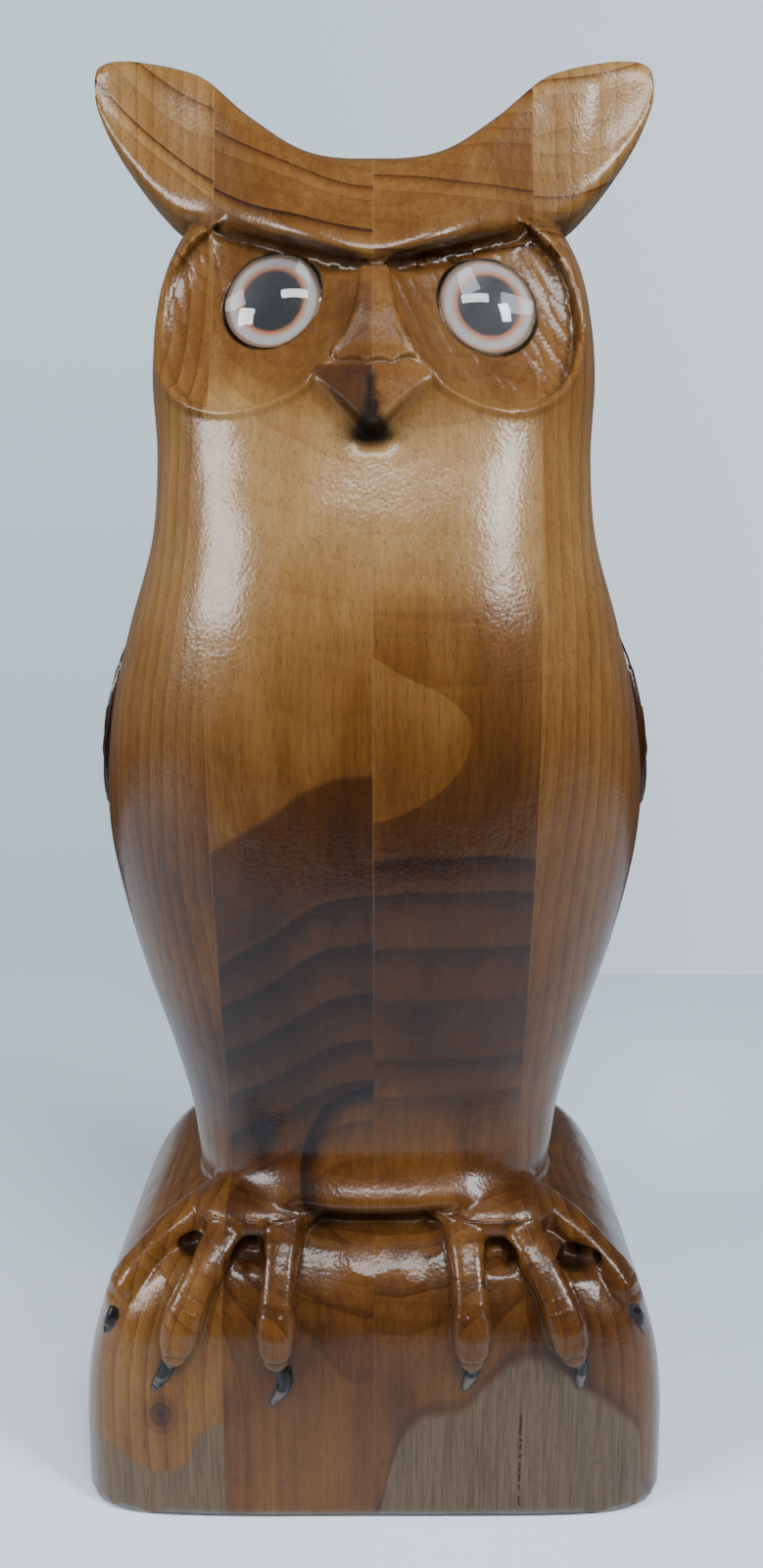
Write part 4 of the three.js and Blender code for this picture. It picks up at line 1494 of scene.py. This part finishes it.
@dataclass(frozen=True)
class IrisFinish:
    """Paint on the back of an eye: pupil, soft orange ring and pale edge, by distance from the middle."""

    rings: tuple[tuple[float, str], ...] = (
        (0.0, "10161d"),
        (0.53, "141b23"),
        (0.57, "3b2a20"),
        (0.61, "a55c34"),
        (0.67, "b18b74"),
        (0.74, "b5b4b5"),
        (0.84, "b3afad"),
        (0.89, "a5683a"),
        (0.93, "6f6455"),
        (1.0, "33352f"),
    )

    def build(self, side: FaceSide, face: Face) -> bpy.types.Material:
        """Makes the material for one eye.

        Args:
            side: The side of the face.
            face: The face, for the eye's place.

        Returns:
            The material.
        """
        material, bench, shader = new_material(f"iris_{side.name}")
        centre = (-side.sign * side.eye_x, -face.eye_y, -side.eye_z)
        own = bench.mapped(bench.place(), (1.0,) * 3, shift=centre)
        made = bench.node("VectorMath", operation="LENGTH")
        bench.feed(made.inputs[0], own)
        blot = bench.noise(bench.mapped(own, (0.5,) * 3), 3.0)
        radius = Wire(bench, made.outputs["Value"]) / 14.8 + blot * 0.03
        colour = bench.ramp(radius, self.rings)
        spoke = bench.noise(bench.mapped(own, (1.8, 0.4, 1.8)), 3.0)
        colour = bench.mix(bench.band(spoke, 0.0, 0.3) * 0.25, colour, paint("7d6a60"))
        bench.feed(shader.inputs["Base Color"], colour)
        # Painted light: the iris glows faintly, standing in for the light that the glass keeps from it.
        bench.feed(shader.inputs["Emission Color"], colour)
        shader.inputs["Emission Strength"].default_value = 0.08
        shader.inputs["Roughness"].default_value = 0.5
        return material


@dataclass(frozen=True)
class FloorFinish:
    """A plain pale floor under the owl."""

    def build(self) -> bpy.types.Material:
        """Makes the material."""
        material, bench, shader = new_material("pale_floor")
        mottle = bench.noise(bench.mapped(bench.place(), (0.004,) * 3), 3.0)
        bench.feed(shader.inputs["Base Color"], bench.mix(mottle + 0.5, paint("c6d5e1"), paint("d0dfea")))
        shader.inputs["Roughness"].default_value = 0.8
        return material


# The carving's fine mesh


@dataclass
class Carving:
    """The wood of the owl, grown on a copy of its solid."""

    form: CarvedForm = field(default_factory=CarvedForm)
    voxel: float = 3.2
    fine_bend: float = 7.0
    wing_bend: float = 14.0
    settle_step: float = 0.04
    settle_reach: float = 2.0
    normal_step: float = 0.25
    hollow_reach: float = 1.2
    name: str = "carved_walnut"
    node: str = "owl_carving"

    def base(self) -> bmesh.types.BMesh:
        """An even skin over the solid."""
        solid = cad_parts[self.node]
        shape = bmesh.new()
        shape.from_mesh(solid.data)
        bmesh.ops.remove_doubles(shape, verts=shape.verts, dist=1e-6)
        bmesh.ops.scale(shape, vec=(1.0 / MM,) * 3, verts=shape.verts)
        mesh = bpy.data.meshes.new("skin")
        shape.to_mesh(mesh)
        shape.free()
        draft = bpy.data.objects.new("skin", mesh)
        bpy.context.scene.collection.objects.link(draft)
        remesh = draft.modifiers.new("skin", "REMESH")
        remesh.mode = "VOXEL"
        remesh.voxel_size = self.voxel
        remesh.adaptivity = 0.0
        graph = bpy.context.evaluated_depsgraph_get()
        skin = bmesh.new()
        skin.from_mesh(draft.evaluated_get(graph).to_mesh())
        bpy.data.objects.remove(draft)
        bpy.data.meshes.remove(mesh)
        return skin

    def settle(self, skin: bmesh.types.BMesh, rounds: int) -> None:
        """Draws the skin's points onto the form.

        Args:
            skin: The mesh.
            rounds: How many steps to take.
        """
        points = np.array([v.co for v in skin.verts])
        for _ in range(rounds):
            value, slope = slope_of(self.form, points, self.settle_step)
            steep = np.maximum((slope**2).sum(axis=1), 0.2)
            step = np.clip(value / steep, -self.settle_reach, self.settle_reach)
            points -= step[:, None] * slope
        low, high = np.array(SOLID_BOX) / MM
        points = np.clip(points, low, high)
        for vertex, place in zip(skin.verts, points):
            vertex.co = place

    def even_out(self, skin: bmesh.types.BMesh, rounds: int) -> None:
        """Slides the points along the surface so that the faces stay even."""
        for _ in range(rounds):
            skin.normal_update()
            bmesh.ops.smooth_vert(
                skin, verts=skin.verts, factor=0.5, use_axis_x=True, use_axis_y=True, use_axis_z=True
            )
            self.settle(skin, 2)

    def refine(self, skin: bmesh.types.BMesh, chosen: Callable[[Vector], bool], bend: float) -> None:
        """Halves the faces where the surface bends, in the places chosen.

        Args:
            skin: The mesh.
            chosen: Says whether a place may be refined.
            bend: The least angle between neighbouring faces that asks for it, in degrees.
        """
        least = math.radians(bend)
        skin.normal_update()
        edges = set()
        for face in skin.faces:
            if chosen(face.calc_center_median()):
                if any(e.is_manifold and e.calc_face_angle(0.0) > least for e in face.edges):
                    edges.update(face.edges)
        bmesh.ops.subdivide_edges(skin, edges=list(edges), cuts=1, use_grid_fill=True)

    def mark(self, mesh: bpy.types.Mesh, points: Array) -> None:
        """Writes the form's own directions onto the mesh, with the places of stain, painted shade and claws.

        Args:
            mesh: The finished mesh.
            points: Its points in millimetres.
        """
        _, slope = slope_of(self.form, points, self.normal_step)
        length = np.maximum(np.linalg.norm(slope, axis=1, keepdims=True), 1e-6)
        mesh.shade_smooth()
        mesh.normals_split_custom_set_from_vertices(slope / length)
        for name, values in (
            # The hollow places get painted shade; the stain places hold stain and painted shade; the horn
            # places hold the claws' paint with a painted highlight on their tips.
            ("hollow", self.form.hollow(points, self.hollow_reach)),
            ("stain_and_shade", self.form.stain_and_shade(points)),
            ("horn", self.form.feet.horn(points)),
            ("feather", self.form.feathered(points)),
            ("bare", self.form.work.beak_face(points)),
        ):
            layer = mesh.attributes.new(name, "FLOAT", "POINT")
            layer.data.foreach_set("value", values.astype(np.float32))

    def build(self) -> bpy.types.Object:
        """Grows the fine surface and puts it in the solid's place."""
        skin = self.base()
        log.info("skin: %d points", len(skin.verts))
        self.settle(skin, 4)
        self.even_out(skin, 2)
        self.refine(skin, self.near_detail, 0.0)
        self.settle(skin, 2)
        self.refine(skin, lambda c: self.near_detail(c) or c.z > 400.0, self.fine_bend)
        self.settle(skin, 2)
        self.refine(skin, self.on_wing_edge, self.wing_bend)
        self.settle(skin, 3)
        bmesh.ops.triangulate(skin, faces=skin.faces)
        skin.normal_update()
        log.info("fine skin: %d points, %d triangles", len(skin.verts), len(skin.faces))
        points = np.array([v.co for v in skin.verts])
        bmesh.ops.scale(skin, vec=(MM,) * 3, verts=skin.verts)
        mesh = bpy.data.meshes.new(self.name)
        skin.to_mesh(mesh)
        skin.free()
        self.mark(mesh, points)
        mesh.materials.append(WalnutFinish().build())
        piece = bpy.data.objects.new(self.name, mesh)
        bpy.context.scene.collection.objects.link(piece)
        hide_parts(self.node)
        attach(piece, "root")
        return piece

    @staticmethod
    def on_wing_edge(place: Vector) -> bool:
        """True along the sides, where the wings step up from the body."""
        return 112.0 < place.z < 325.0 and place.y > -30.0

    @staticmethod
    def near_detail(place: Vector) -> bool:
        """True on the face and the feet, where the carving is fine."""
        face = 340.0 < place.z < 424.0 and place.y < 0.0 and abs(place.x) < 72.0
        feet = 42.0 < place.z < 108.0 and place.y < -28.0 and abs(place.x) < 96.0
        return face or feet


# The eyes


@dataclass(frozen=True)
class Eye:
    """One flat-backed glass dome, with its iris painted on a thin disc behind it."""

    side: FaceSide
    face: Face = field(default_factory=Face)
    radius: float = 15.0
    rim: float = 2.0
    dome: float = 5.0
    edge: float = 0.3
    steps: int = 12
    around: int = 72
    iris_radius: float = 14.9
    iris_back: float = -0.24
    iris_front: float = -0.06

    def spun(self, name: str, outline: list[tuple[float, float]]) -> bpy.types.Object:
        """Spins an outline of radii and heights about the eye's own middle line.

        Args:
            name: The piece's name.
            outline: The places from one pole to the other.

        Returns:
            The closed piece, in its place.
        """
        shape = bmesh.new()
        corners = [shape.verts.new((r, 0.0, z)) for r, z in outline]
        edges = [shape.edges.new(pair) for pair in zip(corners, corners[1:])]
        bmesh.ops.spin(
            shape,
            geom=corners + edges,
            axis=(0.0, 0.0, 1.0),
            cent=(0.0, 0.0, 0.0),
            steps=self.around,
            angle=2.0 * math.pi,
            use_merge=True,
        )
        bmesh.ops.remove_doubles(shape, verts=shape.verts, dist=1e-4)
        bmesh.ops.recalc_face_normals(shape, faces=shape.faces)
        place = Matrix.Scale(MM, 4) @ Matrix(self.face.eye_frame(self.side).tolist())
        bmesh.ops.transform(shape, matrix=place, verts=shape.verts)
        mesh = bpy.data.meshes.new(name)
        shape.to_mesh(mesh)
        shape.free()
        mesh.shade_smooth()
        piece = bpy.data.objects.new(name, mesh)
        bpy.context.scene.collection.objects.link(piece)
        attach(piece, "root")
        return piece

    def build(self) -> None:
        """Makes the glass and the iris."""
        ball = (self.radius**2 + self.dome**2) / (2.0 * self.dome)
        sweep = math.asin(self.radius / ball)
        outline = [(0.0, 0.0), (self.radius - self.edge, 0.0), (self.radius, self.edge)]
        for i in range(self.steps + 1):
            angle = sweep * (1.0 - i / self.steps)
            height = self.rim + self.dome - ball * (1.0 - math.cos(angle))
            outline.append((ball * math.sin(angle), height))
        glass = self.spun(f"eye_glass_{self.side.name}", outline)
        glass.data.materials.append(GlassFinish().build())
        glass.data.set_sharp_from_angle(angle=math.radians(30.0))
        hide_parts(f"eye_{self.side.name}")
        r, low, high = self.iris_radius, self.iris_back, self.iris_front
        iris = self.spun(f"eye_iris_{self.side.name}", [(0.0, low), (r, low), (r, high), (0.0, high)])
        iris.data.materials.append(IrisFinish().build(self.side, self.face))
        iris.data.set_sharp_from_angle(angle=math.radians(30.0))
        log.info("eye: %s", self.side.name)


# Setting


@dataclass(frozen=True)
class Softbox:
    """One large soft light, by its direction from the owl's middle, as seen from the owl."""

    name: str
    across: float
    up: float
    away: float
    size: tuple[float, float]
    power: float
    colour: tuple[float, float, float] = (0.95, 0.98, 1.0)

    def build(self, aim: Vector) -> None:
        """Hangs the light so that it looks at the aim."""
        flat = math.cos(math.radians(self.up)) * self.away
        turn = math.radians(self.across)
        offset = Vector(
            (flat * math.sin(turn), -flat * math.cos(turn), self.away * math.sin(math.radians(self.up)))
        )
        data = bpy.data.lights.new(self.name, "AREA")
        data.shape = "RECTANGLE"
        data.size, data.size_y = self.size
        data.energy = self.power
        data.color = self.colour
        lamp = bpy.data.objects.new(self.name, data)
        lamp.location = aim + offset
        lamp.rotation_euler = (-offset).to_track_quat("-Z", "Y").to_euler()
        bpy.context.scene.collection.objects.link(lamp)


@dataclass(frozen=True)
class Setting:
    """Camera, light and floor."""

    lens: float = 27.11
    sensor: float = 36.0
    clip: tuple[float, float] = (0.01, 50.0)
    camera_place: tuple[float, float, float] = (0.0024, -0.407, 0.320)
    pitch: float = 12.0
    floor_size: tuple[float, float] = (1.2, 0.39)
    floor_back: float = 0.42
    aim: tuple[float, float, float] = (0.0, -0.03, 0.3)
    lights: tuple[Softbox, ...] = (
        Softbox("left_window", -66, 19, 1.3, (0.56, 0.4), 22.0),
        Softbox("right_window", 53, 29, 1.2, (0.29, 0.44), 19.0),
        Softbox("front_window", 8, 50, 1.4, (0.8, 0.3), 23.0),
    )

    def camera(self) -> None:
        """The camera, at the photograph's viewing angle."""
        data = bpy.data.cameras.new("camera")
        data.sensor_width = self.sensor
        data.lens = self.lens
        data.clip_start, data.clip_end = self.clip
        camera = bpy.data.objects.new("camera", data)
        camera.location = self.camera_place
        camera.rotation_euler = (math.radians(90.0 - self.pitch), 0.0, 0.0)
        bpy.context.scene.collection.objects.link(camera)
        bpy.context.scene.camera = camera

    def floor(self) -> None:
        """A plain pale floor that ends a little behind the owl."""
        shape = bmesh.new()
        bmesh.ops.create_grid(shape, x_segments=1, y_segments=1, size=1.0)
        half_width, half_depth = self.floor_size
        bmesh.ops.scale(shape, vec=(half_width, half_depth, 1.0), verts=shape.verts)
        bmesh.ops.translate(shape, vec=(0.0, self.floor_back - half_depth, 0.0), verts=shape.verts)
        mesh = bpy.data.meshes.new("floor")
        shape.to_mesh(mesh)
        shape.free()
        mesh.materials.append(FloorFinish().build())
        floor = bpy.data.objects.new("floor", mesh)
        bpy.context.scene.collection.objects.link(floor)

    def surroundings(self) -> None:
        """A pale wall for the camera, in a room brighter behind than in front or below."""
        world = bpy.data.worlds.new("studio")
        bpy.context.scene.world = world
        world.use_nodes = True
        bench = Bench(world.node_tree)
        x, y, z = bench.axes(Wire(bench, bench.node("TexCoord").outputs["Generated"]))
        behind = bench.band(y, -0.75, 0.1)
        above = bench.band(z, 0.3, 0.95)
        share = bench.sum("MAXIMUM", behind, above * 0.4)
        room = bench.mix(share, paint("282c2f"), paint("636c73"))
        seen = Wire(bench, bench.node("LightPath").outputs["Is Camera Ray"])
        # Painted light on the wall seen by the camera: lighter upward and towards the right.
        wall = bench.mix(bench.band(z, -0.35, 0.35), paint("bccedb"), paint("d8e9f5"))
        wall = bench.mix(bench.band(x, -0.1, 0.45) * 0.8, wall, paint("f2f8ff"))
        wall = bench.mix(1.0, wall, (1.2, 1.24, 1.27, 1.0), blend="MULTIPLY")
        room = bench.mix(bench.band(z, 0.0, -0.2), room, paint("363c40"))
        background = world.node_tree.nodes["Background"]
        bench.feed(background.inputs["Color"], bench.mix(seen, room, wall))
        background.inputs["Strength"].default_value = 1.0

    def build(self) -> None:
        """Places the camera, the floor and the light."""
        self.camera()
        self.floor()
        self.surroundings()
        for light in self.lights:
            light.build(Vector(self.aim))


def main() -> None:
    """Builds the owl and its setting, in order."""
    logging.basicConfig(level=logging.INFO, format="%(name)s: %(message)s")
    Setting().build()
    Carving().build()
    for side in (LEFT, RIGHT):
        Eye(side).build()


if __name__ == "__main__":
    main()
